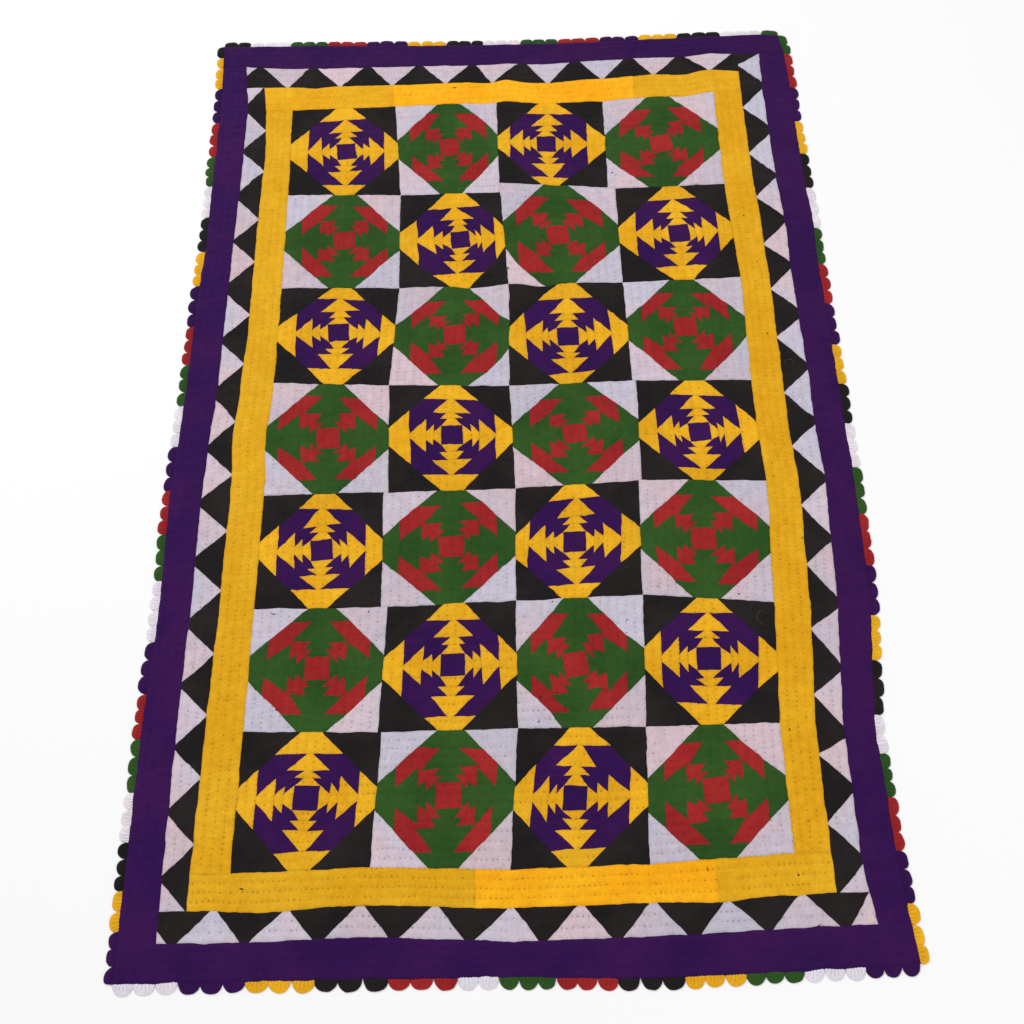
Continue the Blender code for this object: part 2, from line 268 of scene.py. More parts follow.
# White triangles, in mm along the strip: start of the base on the purple side, point on the
# yellow side and end of the base
WHITE_TRIANGLES = {
    "left": (
        (838, 787, 736), (723, 672, 620), (594, 541, 490), (482, 431, 381), (349, 298, 246),
        (229, 179, 130), (97, 47, -3), (-20, -70, -121), (-140, -191, -241), (-262, -313, -364),
        (-386, -437, -488), (-501, -551, -602), (-613, -663, -714), (-727, -778, -828),
    ),
    "right": (
        (953, 923, 871), (849, 799, 748), (721, 669, 614), (600, 552, 500), (481, 429, 384),
        (364, 316, 269), (240, 200, 140), (122, 70, 15), (-3, -49, -110), (-127, -175, -236),
        (-251, -295, -360), (-382, -421, -487), (-502, -544, -600), (-623, -649, -699),
        (-717, -767, -818),
    ),
    "far": (
        (-545, -488, -442), (-422, -369, -318), (-301, -252, -201), (-184, -133, -82),
        (-65, -27, 29), (50, 95, 146), (168, 217, 265), (288, 330, 382), (403, 455, 506),
    ),
    "near": (
        (-560, -503, -456), (-441, -383, -338), (-318, -260, -214), (-196, -137, -90),
        (-72, -13, 32), (46, 101, 150), (169, 220, 272), (295, 341, 396), (410, 461, 517),
    ),
}
WHITE_POINT_WIDTH = {"left": 4, "right": 4, "far": 6, "near": 11}

# Half triangles at the ends of the strips. A corner is a place along the strip and a share of its
# width, 0 at the yellow side and 1 at the purple one.
WHITE_CORNERS = {
    "left": ((("start", 1), ("start", 0.03), (868, 1)), (("end", 1), ("end", 0.06), (-840, 1))),
    "right": ((("end", 1), ("end", 0.1), (-837, 1)),),
    "far": ((("start", 1), ("start", 0.6), (-560, 1)),),
    "near": ((("start", 1), ("start", 0.63), (-577, 1)), (("end", 1), ("end", 0), (535, 1))),
}

# Lengths of cloth in the yellow strips: where one ends, and the number of its shade
YELLOW_LENGTHS = {
    "left": (("end", 1),),
    "right": (("end", 0),),
    "far": ((-250, 0), (285, 2), (463, 0), ("end", 0)),
    "near": ((-72, 1), (327, 2), ("end", 1)),
}

# Groups of petals along each side: how many, the length of the group and its cloth
PETAL_GROUPS = {
    "left": (
        (1, 33, "black"), (3, 92, "gold"), (3, 100, "purple"), (3, 96, "red"), (3, 84, "green"),
        (3, 83, "white"), (3, 91, "black"), (3, 88, "gold"), (3, 99, "purple"), (3, 92, "red"),
        (3, 95, "green"), (3, 93, "white"), (3, 97, "purple"), (3, 92, "red"), (3, 95, "green"),
        (4, 120, "white"), (3, 98, "purple"), (3, 83, "red"), (3, 96, "green"), (3, 85, "white"),
        (3, 80, "black"), (2, 65, "gold"), (3, 84, "purple"),
    ),
    "right": (
        (2, 61, "green"), (3, 100, "red"), (3, 97, "purple"), (3, 88, "gold"), (3, 94, "black"),
        (3, 104, "white"), (3, 94, "green"), (3, 96, "red"), (3, 100, "purple"), (3, 90, "gold"),
        (3, 90, "black"), (3, 95, "white"), (3, 98, "green"), (3, 104, "red"), (3, 97, "purple"),
        (3, 87, "gold"), (3, 100, "black"), (2, 68, "white"), (3, 74, "green"), (3, 91, "red"),
        (3, 86, "purple"), (3, 93, "gold"),
    ),
    "far": (
        (2, 61, "black"), (3, 93, "white"), (3, 85, "green"), (3, 89, "red"), (3, 94, "purple"),
        (3, 88, "gold"), (3, 83, "black"), (3, 84, "white"), (3, 84, "green"), (3, 94, "red"),
        (3, 89, "purple"), (3, 87, "gold"), (3, 97, "black"), (3, 93, "white"), (1, 42, "green"),
    ),
    "near": (
        (3, 108, "white"), (3, 110, "purple"), (3, 112, "gold"), (3, 118, "black"),
        (3, 112, "red"), (2, 67, "white"), (3, 92, "green"), (3, 99, "red"), (3, 105, "black"),
        (3, 98, "gold"), (3, 93, "green"), (3, 97, "white"), (3, 88, "purple"),
    ),
}
PETAL_TUCK = 1.5
PETAL_CROWN = 3.3
PETAL_ROOT_HEIGHT = 2.3
PETAL_RIM_HEIGHT = 0.9
PETAL_UNDERSIDE = 0.2
PETAL_PLEATS = 7
PETAL_PLEAT_HEIGHT = 0.95
PLEAT_SHADOW = 1.0
PETAL_TURNS = 44
PETAL_RINGS = 7

# How uneven the petals are, in mm or, for their depth, as a share
PETAL_DEPTH_SHAKE = 0.06
PETAL_LEAN = 1.5
PETAL_LIFT = 0.25
PLEAT_SHIFT = 2

# Powers that shape a petal's crown and pleats
CROWN_POWER = 0.7
RIM_POWER = 3
SIDE_POWER = 6
PLEAT_RISE_POWER = 0.5
PLEAT_FADE_POWER = 4

# Cloths that are another shade in the petals: the petals' white is the white cloth painted
# lighter, as painted light for the glare that washes the white petals out against the pale floor
PETAL_CLOTHS = {"white": "petal_white"}

# How full the petals of a side are. Columns: width in shares of their spacing, the power that
# squares their outline, and how far they reach in mm.
PETAL_FORMS = {
    "left": (1.05, 0.80, 18),
    "right": (1.08, 0.72, 18),
    "far": (1.04, 0.62, 16.5),
    "near": (1.01, 0.92, 19.5),
}

# Colours as they look in daylight, red, green and blue of 255: the usual shade and the other one
CLOTHS = {
    "black": ((26, 23, 23), (36, 31, 30)),
    "white": ((194, 189, 204), (210, 187, 195)),
    # The white cloth painted lighter for the petals, as painted light for the glare on them
    "petal_white": ((228, 222, 232), (234, 224, 230)),
    "gold": ((228, 165, 24), (235, 176, 33)),
    "yellow_0": ((224, 162, 22), (230, 171, 30)),
    "yellow_1": ((226, 166, 24), (231, 175, 33)),
    "yellow_2": ((247, 170, 18), (249, 180, 26)),
    "purple": ((47, 11, 74), (56, 15, 76)),
    "red": ((150, 33, 35), (160, 39, 38)),
    "green": ((41, 76, 29), (49, 84, 33)),
    "back": ((196, 188, 176), (204, 196, 184)),
    "thread": ((50, 32, 60), (60, 40, 68)),
    "dark_lint": ((58, 32, 30), (68, 40, 36)),
    "pale_lint": ((84, 80, 78), (96, 92, 90)),
}
DARK_CLOTH = 80
CLOTH_ROUGHNESS = 0.9
CLOTH_SPECULAR = 0.12
SHEEN_WEIGHT = 0.02
SHEEN_ROUGHNESS = 0.5

# Plain weave, the broad unevenness of the dye, and a fine mottle that is partly grime and partly
# painted shade for the light and dark of the puckers
WEAVE_PITCH = 1.0 * MM
WEAVE_DEPTH = 0.05 * MM
WEAVE_SHADE = 0.13
WEAVE_BUMP = 0.6
SLUB_SCALE = 300
SLUB_SHADE = 0.09
SLUB_TURN = 2.0
SLUB_BUMP = 3.0
DYE_SCALE = 9
WHITE_DYE_SCALE = 4
# A fine mottle of the cloth: partly grime, partly painted shade standing for the light and dark of
# the puckers
GRIME_AND_PUCKER_SHADE_SCALE = 60
GRIME_AND_PUCKER_SHADE = 0.08
DYE_DETAIL = 3.0
SLUB_DETAIL = 3.0
GRIME_AND_PUCKER_SHADE_DETAIL = 4.0
FINE_ROUGHNESS = 0.6

# Ranges of a noise that go from one dye to the other, and from dark to light
DYE_RANGE = (0.4, 0.6)
SHADE_RANGE = (0.3, 0.7)

# Dark specks, and the share of a cloth's cells that have one
SPECK_SCALE = 55
SPECK_RADII = (0.03, 0.09)
SPECK_DARKNESS = 0.75
SPECK_COLOUR = (52, 40, 48)
SPECKS = {"white": 0.10, "gold": 0.04, "yellow_0": 0.03, "yellow_1": 0.03, "yellow_2": 0.03}

# Shade of the single patches, and shadows in the pits and along the seams
PATCH_SHADE = 0.06
SHADOW_SHADE = 0.36
DARK_SHADOW_SHADE = 0.12
SEAM_SHADOW = 0.35
PIT_SHADOW_SPREAD = 1.3

# Loose ends of thread on the cloth, in mm. Columns: place, length, direction in degrees, how far
# round it curls in degrees, and its cloth.
LOOSE_ENDS = (
    ((203, -395), 13, 110, 220, "pale_lint"),
    ((263, -331), 10, 50, -120, "pale_lint"),
    ((440, -397), 42, 190, 170, "pale_lint"),
    ((549, 142), 30, 80, 200, "pale_lint"),
    ((40, -579), 5, 40, 20, "dark_lint"),
    ((71, -354), 4, 0, 40, "dark_lint"),
    ((44, -535), 8, 60, 20, "dark_lint"),
    ((-437, -363), 6, 160, 40, "dark_lint"),
    ((-420, -545), 6, -10, 20, "dark_lint"),
    ((-264, -363), 4, 40, 20, "dark_lint"),
    ((-113, 889), 8, -40, 60, "dark_lint"),
    ((226, 631), 7, 20, 40, "dark_lint"),
    ((0, 392), 10, 20, 160, "dark_lint"),
    ((533, -242), 4, 70, 20, "dark_lint"),
    ((407, -350), 5, 10, 20, "dark_lint"),
    ((472, -604), 4, 90, 20, "dark_lint"),
    ((460, -851), 4, 20, 20, "dark_lint"),
    ((482, -933), 12, 5, 30, "dark_lint"),
    ((312, -838), 7, 90, 10, "dark_lint"),
    ((-460, -853), 7, -20, 20, "dark_lint"),
    ((493, 504), 4, 60, 20, "dark_lint"),
    ((510, 385), 4, 10, 20, "dark_lint"),
    ((513, 210), 4, 80, 20, "dark_lint"),
)
LOOSE_END_WIDTHS = {"pale_lint": 0.9, "dark_lint": 2.6}
LOOSE_END_STEPS = 12
LOOSE_END_HEIGHT = 0.7
LOOSE_END_TIP = 0.7

FLOOR_SIDE = 12
FLOOR_DROP = 0.0004
FLOOR_COLOUR = (0.97, 0.97, 0.97)
FLOOR_ROUGHNESS = 0.9

# Studio lights, aimed at the middle of the floor. Columns: place and size in m, power in W.
LIGHTS = {
    "key": ((-3.6, 3.9, 4.2), 2.5, 178),
    "fill": ((2.4, -1.6, 3.6), 3.0, 38),
}
WORLD_STRENGTH = 0.66

FRAMES = ("yellow", "triangle", "purple")
OUTWARD = {
    "left": np.array((-1.0, 0.0)),
    "right": np.array((1.0, 0.0)),
    "far": np.array((0.0, 1.0)),
    "near": np.array((0.0, -1.0)),
}
ROWS_OF_BLOCKS = len(CROSSINGS) - 1
COLUMNS_OF_BLOCKS = len(CROSSINGS[0]) - 1


# Uneven numbers that are the same on every run

HASH = (374761393, 668265263, 1442695041, 1274126177)
HASH_BITS = 0xFFFFFFFF
HASH_TOP = 0xFFFF


def lattice(x, y, seed):
    """An even spread of numbers from 0 to 1, one for each pair of whole numbers."""
    mixed = (np.asarray(x) * HASH[0] + np.asarray(y) * HASH[1] + seed * HASH[2]) & HASH_BITS
    mixed = ((mixed ^ (mixed >> 13)) * HASH[3]) & HASH_BITS
    return ((mixed ^ (mixed >> 16)) & HASH_TOP) / HASH_TOP


def soft_noise(x, y, seed):
    """A smooth surface through the lattice's numbers, from -1 to 1."""
    left, low = np.floor(x).astype(np.int64), np.floor(y).astype(np.int64)
    across, up = x - left, y - low
    across, up = across**2 * (3 - 2 * across), up**2 * (3 - 2 * up)
    near = lattice(left, low, seed) * (1 - across) + lattice(left + 1, low, seed) * across
    far = lattice(left, low + 1, seed) * (1 - across) + lattice(left + 1, low + 1, seed) * across
    return 2 * (near * (1 - up) + far * up) - 1


def unevenness(*key):
    """One number from -1 to 1 for a key of whole numbers."""
    a, b, c = (*key, 0, 0)[:3]
    return float(2 * lattice(np.int64(a), np.int64(b), c) - 1)


def wander(places):
    """How far each place of the plan has strayed, alike for all pieces that meet there."""
    x, y = places[:, 0], places[:, 1]
    strayed = np.zeros((len(places), 2))
    for number, (length, reach) in enumerate(WANDERS):
        for axis, seed in enumerate(WANDER_SEEDS):
            strayed[:, axis] += reach * soft_noise(x / length, y / length, seed + number)
    for (at_x, at_y), pull, (across, along) in PULLS:
        share = np.exp(-(((x - at_x) / across) ** 2) - ((y - at_y) / along) ** 2)
        strayed += share[:, None] * np.array(pull)
    return strayed


# Outlines in the plan

def crossing(row, column):
    """Where the far left, far right, near right and near left block have their corner."""
    first = np.array(CROSSINGS[row][column], float)
    side, second = JOGS.get((row, column), ("near", first))
    second = np.array(second, float)
    if side == "near":
        return first, first, second, second
    return first, second, second, first


def seam_across(row, column):
    """The straight seam from one crossing to the next one of its row, from left to right."""
    left, right = crossing(row, column), crossing(row, column + 1)
    return max(left[1:3], key=lambda p: p[0]), min(right[0], right[3], key=lambda p: p[0])


def seam_lengthwise(row, column):
    """The straight seam from one crossing to the next one of its column, from far to near."""
    far, near = crossing(row, column), crossing(row + 1, column)
    return min(far[2:4], key=lambda p: p[1]), max(near[0:2], key=lambda p: p[1])


def field_edge(side):
    """The corners of the blocks along one side of the field."""
    if side == "left":
        return [np.array(row[0], float) for row in CROSSINGS]
    if side == "right":
        return [np.array(row[-1], float) for row in CROSSINGS]
    if side == "far":
        return [np.array(pair, float) for pair in CROSSINGS[0]]
    return [np.array(pair, float) for pair in CROSSINGS[-1]]


def ends_of(side):
    if side in ("left", "right"):
        return ("far", side), ("near", side)
    return (side, "left"), (side, "right")


def axis_of(side):
    """The axis that a side runs along: 0 for x, 1 for y."""
    return 1 if side in ("left", "right") else 0


def frame_stations(side, strip):
    count = FRAMES.index(strip) + 1
    return [
        start + OUTWARD[side] * sum(row[:count])
        for start, row in zip(field_edge(side), FRAME_WIDTHS[side])
    ]


def frame_corner(corner, strip):
    return np.array(FRAME_CORNERS[corner][FRAMES.index(strip)], float)


def frame_edge(side, strip):
    first, last = ends_of(side)
    return [frame_corner(first, strip), *frame_stations(side, strip), frame_corner(last, strip)]


def level_with(edge, axis, value):
    """The point of an edge whose x (axis 0) or y (axis 1) is the value."""
    for start, end in zip(edge, edge[1:]):
        low, high = sorted((start[axis], end[axis]))
        if low <= value <= high:
            return start + (end - start) * (value - start[axis]) / (end[axis] - start[axis])
    return edge[0] if abs(edge[0][axis] - value) < abs(edge[-1][axis] - value) else edge[-1]


def beside(side, strip, corner):
    """Where a strip's outer edge is level with the corner of what it frames."""
    index = FRAMES.index(strip)
    if index == 0:
        stations = frame_stations(side, strip)
        return stations[0] if ends_of(side)[0] == corner else stations[-1]
    inner = frame_corner(corner, FRAMES[index - 1])
    return level_with(frame_edge(side, strip), axis_of(side), inner[axis_of(side)])


def runs_through(side, strip, corner):
    is_side_strip = side in ("left", "right")
    return is_side_strip == ((strip, *corner) in CORNERS_OF_SIDE_STRIPS)


def other_side(side, corner):
    return corner[1] if side in ("far", "near") else corner[0]


def strip_edges(side, strip):
    """The inner and outer edges of one strip, as lists of matching points."""
    index = FRAMES.index(strip)
    first, last = ends_of(side)
    outer = frame_stations(side, strip)
    inner = field_edge(side)
    if index > 0:
        inner = frame_edge(side, FRAMES[index - 1])
        outer = [beside(side, strip, first), *outer, beside(side, strip, last)]
    if runs_through(side, strip, first):
        inner.insert(0, beside(other_side(side, first), strip, first))
        outer.insert(0, frame_corner(first, strip))
    if runs_through(side, strip, last):
        inner.append(beside(other_side(side, last), strip, last))
        outer.append(frame_corner(last, strip))
    return inner, outer


def block_corners(row, column):
    """Near right, far right, far left and near left corners."""
    return (
        crossing(row + 1, column + 1)[0],
        crossing(row, column + 1)[3],
        crossing(row, column)[2],
        crossing(row + 1, column)[1],
    )


def block_sides(row, column):
    """The right, far, left and near side of a block with their bends, all anticlockwise."""
    corners = block_corners(row, column)
    seams = (
        seam_lengthwise(row, column + 1)[::-1],
        seam_across(row, column)[::-1],
        seam_lengthwise(row, column),
        seam_across(row + 1, column),
    )
    sides = []
    for corner, seam, following in zip(corners, seams, corners[1:] + corners[:1]):
        ends = (tuple(corner), tuple(following))
        sides.append([corner, *(p for p in seam if tuple(p) not in ends), following])
    return sides


def field_shift():
    """From a plan in mm to the frame in metres, read from one block's solid."""
    low, high = (np.array(corner[:2]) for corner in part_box("block_4_2"))
    corners = np.array(block_corners(3, 1)) * MM
    return (low + high) / 2 - (corners.min(axis=0) + corners.max(axis=0)) / 2


SHIFT = field_shift()


# Plans of pieces

def turns_right(outline):
    """Whether a closed outline runs clockwise."""
    x, y = np.array(outline).T
    return (x * np.roll(y, -1) - y * np.roll(x, -1)).sum() < 0


class Plan:
    """Points, seams and patches of one flat piece. A patch is its outline, cloth and number."""

    def __init__(self):
        self.points = []
        self.runs = {}
        self.edges = []
        self.seams = []
        self.patches = []
        self.outline = []

    def add(self, place):
        self.points.append(np.asarray(place, float))
        return len(self.points) - 1

    def run(self, i, j):
        """The points from i to j along a straight line, both included."""
        key = (min(i, j), max(i, j))
        if key not in self.runs:
            start, end = self.points[key[0]], self.points[key[1]]
            steps = max(1, round(np.linalg.norm(end - start) / MESH_PITCH))
            between = [self.add(start + (end - start) * k / steps) for k in range(1, steps)]
            line = [key[0], *between, key[1]]
            self.runs[key] = line
            self.edges += zip(line, line[1:])
            self.seams.append((start, end))
        line = self.runs[key]
        return line if i < j else line[::-1]

    def loop(self, corners):
        points = []
        for i, j in zip(corners, corners[1:] + corners[:1]):
            points += self.run(i, j)[:-1]
        return points

    def patch(self, corners, cloth_index):
        loop = self.loop(corners)
        if turns_right([self.points[i] for i in loop]):
            loop.reverse()
        self.patches.append((loop, cloth_index))

    def close(self, corners):
        self.outline = list(corners)
        self.loop(self.outline)


def distance_to(places, segments):
    """How far each place lies from the nearest of some segments."""
    starts = np.array([a for a, _ in segments])
    along = np.array([b for _, b in segments]) - starts
    lengths = np.maximum((along**2).sum(axis=1), 1e-9)
    from_start = places[:, None, :] - starts
    share = np.clip((from_start * along).sum(axis=2) / lengths, 0, 1)
    apart = from_start - share[:, :, None] * along
    return np.sqrt((apart**2).sum(axis=2).min(axis=1))


def edge_segments(edge):
    return list(zip(edge, edge[1:]))


def inside(places, outline):
    """Which places lie inside a closed outline."""
    found = np.zeros(len(places), bool)
    x, y = places[:, 0], places[:, 1]
    for a, b in zip(outline, outline[1:] + outline[:1]):
        if a[1] == b[1]:
            continue
        spans = (a[1] > y) != (b[1] > y)
        found ^= spans & (x < a[0] + (y - a[1]) * (b[0] - a[0]) / (b[1] - a[1]))
    return found


def free_points(plan):
    """A staggered field of points inside the outline and clear of its seams."""
    outline = [plan.points[i] for i in plan.outline]
    low, high = np.min(outline, axis=0), np.max(outline, axis=0)
    rows = np.arange(low[1], high[1], MESH_ROW)
    columns = np.arange(low[0], high[0], MESH_PITCH)
    x, y = np.meshgrid(columns, rows)
    x = x + (np.arange(len(rows)) % 2)[:, None] * MESH_PITCH / 2
    places = np.stack([x.ravel(), y.ravel()], axis=1)
    places = places[inside(places, outline)]
    return places[distance_to(places, plan.seams) > SEAM_CLEARANCE]


# Relief of the upper face

def rows_at(places, pairs):
    """Which stitched row each place is at, its place along it, how clearly and in which pair.

    A pair is the first edge, the last edge, the spaces between them and the axis of the rows.
    """
    shares = []
    for first, last, spaces, _ in pairs:
        before = distance_to(places, edge_segments(first))
        after = distance_to(places, edge_segments(last))
        shares.append(before / (before + after + 1e-9) * spaces)
    shares = np.array(shares)
    family = shares.argmin(axis=0)
    axes = np.array([pair[3] for pair in pairs])[family]
    along = places[np.arange(len(places)), axes]
    apart = np.ones(len(places)) if len(pairs) == 1 else np.abs(shares[0] - shares[1])
    return shares.min(axis=0), along, np.clip(apart, 0, 1), family


def stitch_start(row, seed):
    return lattice(np.asarray(row).astype(np.int64), np.int64(seed), 3) * STITCH_PITCH


def stitch_strength(steps, row, seed):
    """How hard each stitch was drawn, from the weakest pit to 1."""
    number = np.rint(steps).astype(np.int64)
    drawn = lattice(number, np.asarray(row).astype(np.int64), seed + 5)
    return WEAKEST_PIT + (1 - WEAKEST_PIT) * drawn


def drawn_by_place(places):
    """How much harder the stitches are drawn towards the near end of the quilt."""
    far, near = CROSSINGS[0][0][1], CROSSINGS[-1][0][1]
    share = np.clip((far - places[:, 1]) / (far - near), 0, 1)
    return DRAWN_AT_FAR_END + (DRAWN_AT_NEAR_END - DRAWN_AT_FAR_END) * share


def pits(places, pairs, seed, spread):
    """How deep each place lies in the pit of its nearest stitch, from 0 to 1."""
    count, along, clear, _ = rows_at(places, pairs)
    row = np.rint(count)
    steps = (along - stitch_start(row, seed)) / STITCH_PITCH
    beside_stitch = (steps - np.rint(steps)) * STITCH_PITCH
    reach = beside_stitch**2 + ((count - row) * ROW_SPACING) ** 2
    strength = clear * stitch_strength(steps, row, seed) * drawn_by_place(places)
    return strength * np.exp(-reach / (2 * spread**2))


def relief(places, pairs, seed, pitted=True):
    """Height of the quilted cloth in mm, before its seams and edges."""
    count, along, clear, _ = rows_at(places, pairs)
    crest = np.sin(pi * np.abs(count - np.rint(count))) ** CREST_POWER
    height = FURROW_HEIGHT + (RIDGE_HEIGHT - FURROW_HEIGHT) * crest
    if pitted:
        height -= PIT_DEPTH * pits(places, pairs, seed, PIT_SPREAD)
    pucker = np.zeros(len(places))
    for number, (strength, finer, turns) in enumerate(PUCKER_WAVES):
        wave = soft_noise(along / PUCKER_LENGTH * finer, count * turns, seed + number)
        pucker += strength * wave
    height += PUCKER_HEIGHT * pucker * clear * (PUCKER_IN_FURROW + (1 - PUCKER_IN_FURROW) * crest)
    swell = soft_noise(places[:, 0] / SWELL_LENGTH, places[:, 1] / SWELL_LENGTH, SWELL_SEED)
    return height + SWELL_HEIGHT * swell


def fall(distance, reach):
    """A quarter round from 0 at an edge to 1 at its reach."""
    share = np.clip(distance / reach, 0, 1)
    return np.sqrt(share * (2 - share))


def shadow_at(places, pairs, seed, seams):
    """How much shade each place has in the pits of the stitches and beside the seams."""
    pit = pits(places, pairs, seed, PIT_SHADOW_SPREAD)
    beside_seam = np.exp(-((distance_to(places, seams) / SEAM_SPREAD) ** 2))
    return np.maximum(pit, SEAM_SHADOW * beside_seam)


def dressed_height(places, pairs, seed, seams, edges, hem=None):
    """The relief with dips along the seams, and falling towards the edges and the hem."""
    height = relief(places, pairs, seed)
    if seams:
        height -= SEAM_DIP * np.exp(-((distance_to(places, seams) / SEAM_SPREAD) ** 2))
    height = SEAM_HEIGHT + (height - SEAM_HEIGHT) * fall(distance_to(places, edges), EDGE_FALL)
    if hem:
        height = HEM_HEIGHT + (height - HEM_HEIGHT) * fall(distance_to(places, hem), HEM_FALL)
    return height


# Materials

def linear(colour):
    """A colour of 255 as the linear values that shaders take."""
    shares = [c / 255 for c in colour]
    return (*(s / 12.92 if s <= 0.04045 else ((s + 0.055) / 1.055) ** 2.4 for s in shares), 1)


class Nodes:
    """Short ways to add and link shader nodes."""

    def __init__(self, tree):
        self.tree = tree

    def add(self, kind, inputs=(), **settings):
        node = self.tree.nodes.new("ShaderNode" + kind)
        for name, value in settings.items():
            setattr(node, name, value)
        for name, value in dict(inputs).items():
            if isinstance(value, bpy.types.NodeSocket):
                self.tree.links.new(value, node.inputs[name])
            else:
                node.inputs[name].default_value = value
        return node

    def math(self, operation, a, b=0.0):
        return self.add("Math", {0: a, 1: b}, operation=operation).outputs[0]

    def noise(self, place, scale, detail=2.0, roughness=0.5):
        inputs = {"Vector": place, "Scale": scale, "Detail": detail, "Roughness": roughness}
        return self.add("TexNoise", inputs).outputs["Fac"]

    def spread(self, value, low, high, to_low=0.0, to_high=1.0):
        inputs = {0: value, 1: low, 2: high, 3: to_low, 4: to_high}
        return self.add("MapRange", inputs, clamp=True).outputs[0]

    def mix(self, factor, a, b, blend="MIX"):
        node = self.add("Mix", {0: factor, 6: a, 7: b}, data_type="RGBA", blend_type=blend)
        return node.outputs[2]

    def product(self, *values):
        result = values[0]
        for value in values[1:]:
            result = self.math("MULTIPLY", result, value)
        return result

    def shade(self, value, low, high, depth):
        """A factor round 1 that goes from dark to light between two values."""
        return self.spread(value, low, high, 1 - depth, 1 + depth)

    def painted(self, name):
        """The values that the mesh has under a name."""
        return self.add("Attribute", attribute_name=name).outputs["Fac"]


def dyed(nodes, place, name):
    """The two shades of a cloth, in broad patches."""
    usual, other = (linear(c) for c in CLOTHS[name])
    scale = WHITE_DYE_SCALE if name == "white" else DYE_SCALE
    dye = nodes.spread(nodes.noise(place, scale, DYE_DETAIL), *DYE_RANGE)
    return nodes.mix(dye, usual, other)


def plain_weave(nodes, place, slub):
    """Threads that go over and under each other, bent a little by the slubs."""
    apart = nodes.add("SeparateXYZ", {0: place})
    turn = nodes.math("MULTIPLY", slub, SLUB_TURN)
    threads = []
    for k in (0, 1):
        waves = nodes.math("MULTIPLY", apart.outputs[k], 2 * pi / WEAVE_PITCH)
        threads.append(nodes.math("SINE", nodes.math("ADD", waves, turn)))
    return nodes.product(*threads)


def cloth_shade(nodes, place, slub, weave, name):
    """Dark and light of the threads, the grime and painted pucker shade, the single patches and
    the shadows, as a grey.
    """
    # Fine mottle that is partly grime and partly painted shade for the light and dark of the
    # puckers
    grime_and_pucker_shade = nodes.noise(place, GRIME_AND_PUCKER_SHADE_SCALE, GRIME_AND_PUCKER_SHADE_DETAIL, FINE_ROUGHNESS)
    depth = DARK_SHADOW_SHADE if max(CLOTHS[name][0]) < DARK_CLOTH else SHADOW_SHADE
    shade = nodes.product(
        nodes.shade(weave, -1.0, 1.0, WEAVE_SHADE),
        nodes.shade(slub, *SHADE_RANGE, SLUB_SHADE),
        nodes.shade(grime_and_pucker_shade, *SHADE_RANGE, GRIME_AND_PUCKER_SHADE),
        nodes.shade(nodes.painted("patch_shade"), 0.0, 1.0, PATCH_SHADE),
        nodes.spread(nodes.painted("shadow"), 0.0, 1.0, 1.0, 1 - depth),
    )
    return nodes.add("CombineXYZ", {0: shade, 1: shade, 2: shade}).outputs[0]


def specked(nodes, place, colour, share):
    """A colour with dark specks in a share of the cells."""
    cells = nodes.add("TexVoronoi", {"Vector": place, "Scale": SPECK_SCALE})
    chosen = nodes.add("SeparateColor", {0: cells.outputs["Color"]}).outputs[0]
    near = nodes.spread(cells.outputs["Distance"], *SPECK_RADII, 1.0, 0.0)
    rare = nodes.math("LESS_THAN", chosen, share)
    return nodes.mix(nodes.product(near, rare, SPECK_DARKNESS), colour, linear(SPECK_COLOUR))


def cotton(name):
    """A cotton cloth in one of the colours above, made once."""
    found = bpy.data.materials.get("cotton_" + name)
    if found:
        return found
    material = bpy.data.materials.new("cotton_" + name)
    material.use_nodes = True
    tree = material.node_tree
    shader = tree.nodes["Principled BSDF"]
    nodes = Nodes(tree)
    place = nodes.add("TexCoord").outputs["Object"]
    slub = nodes.noise(place, SLUB_SCALE, SLUB_DETAIL, FINE_ROUGHNESS)
    weave = plain_weave(nodes, place, slub)
    grey = cloth_shade(nodes, place, slub, weave, name)
    colour = nodes.mix(1.0, dyed(nodes, place, name), grey, "MULTIPLY")
    if name in SPECKS:
        colour = specked(nodes, place, colour, SPECKS[name])
    height = nodes.math("ADD", weave, nodes.math("MULTIPLY", slub, SLUB_BUMP))
    relief_inputs = {"Height": height, "Distance": WEAVE_DEPTH, "Strength": WEAVE_BUMP}
    bump = nodes.add("Bump", relief_inputs)
    tree.links.new(colour, shader.inputs["Base Color"])
    tree.links.new(bump.outputs[0], shader.inputs["Normal"])
    shader.inputs["Roughness"].default_value = CLOTH_ROUGHNESS
    shader.inputs["Specular IOR Level"].default_value = CLOTH_SPECULAR
    shader.inputs["Sheen Weight"].default_value = SHEEN_WEIGHT
    shader.inputs["Sheen Roughness"].default_value = SHEEN_ROUGHNESS
    return material


# Meshes

def add_object(name, places, faces, cloths, cloth_of_face, shadow=None, patch_shade=None):
    """A mesh object from places in mm. It has one cloth number for each face."""
    mesh = bpy.data.meshes.new(name)
    places = np.asarray(places, float)
    places[:, :2] += wander(places[:, :2])
    places *= MM
    places[:, :2] += SHIFT
    mesh.from_pydata(places.tolist(), [], faces)
    for cloth_name in cloths:
        mesh.materials.append(cotton(cloth_name))
    mesh.polygons.foreach_set("material_index", np.asarray(cloth_of_face, np.int32))
    if shadow is not None:
        mesh.attributes.new("shadow", "FLOAT", "POINT").data.foreach_set("value", shadow)
    if patch_shade is None:
        patch_shade = np.full(len(faces), 0.5)
    values = mesh.attributes.new("patch_shade", "FLOAT", "FACE").data
    values.foreach_set("value", np.asarray(patch_shade, float))
    mesh.update()
    mesh.shade_smooth()
    mesh.set_sharp_from_angle(angle=radians(SHARP_ANGLE))
    obj = bpy.data.objects.new(name, mesh)
    bpy.context.scene.collection.objects.link(obj)
    return obj


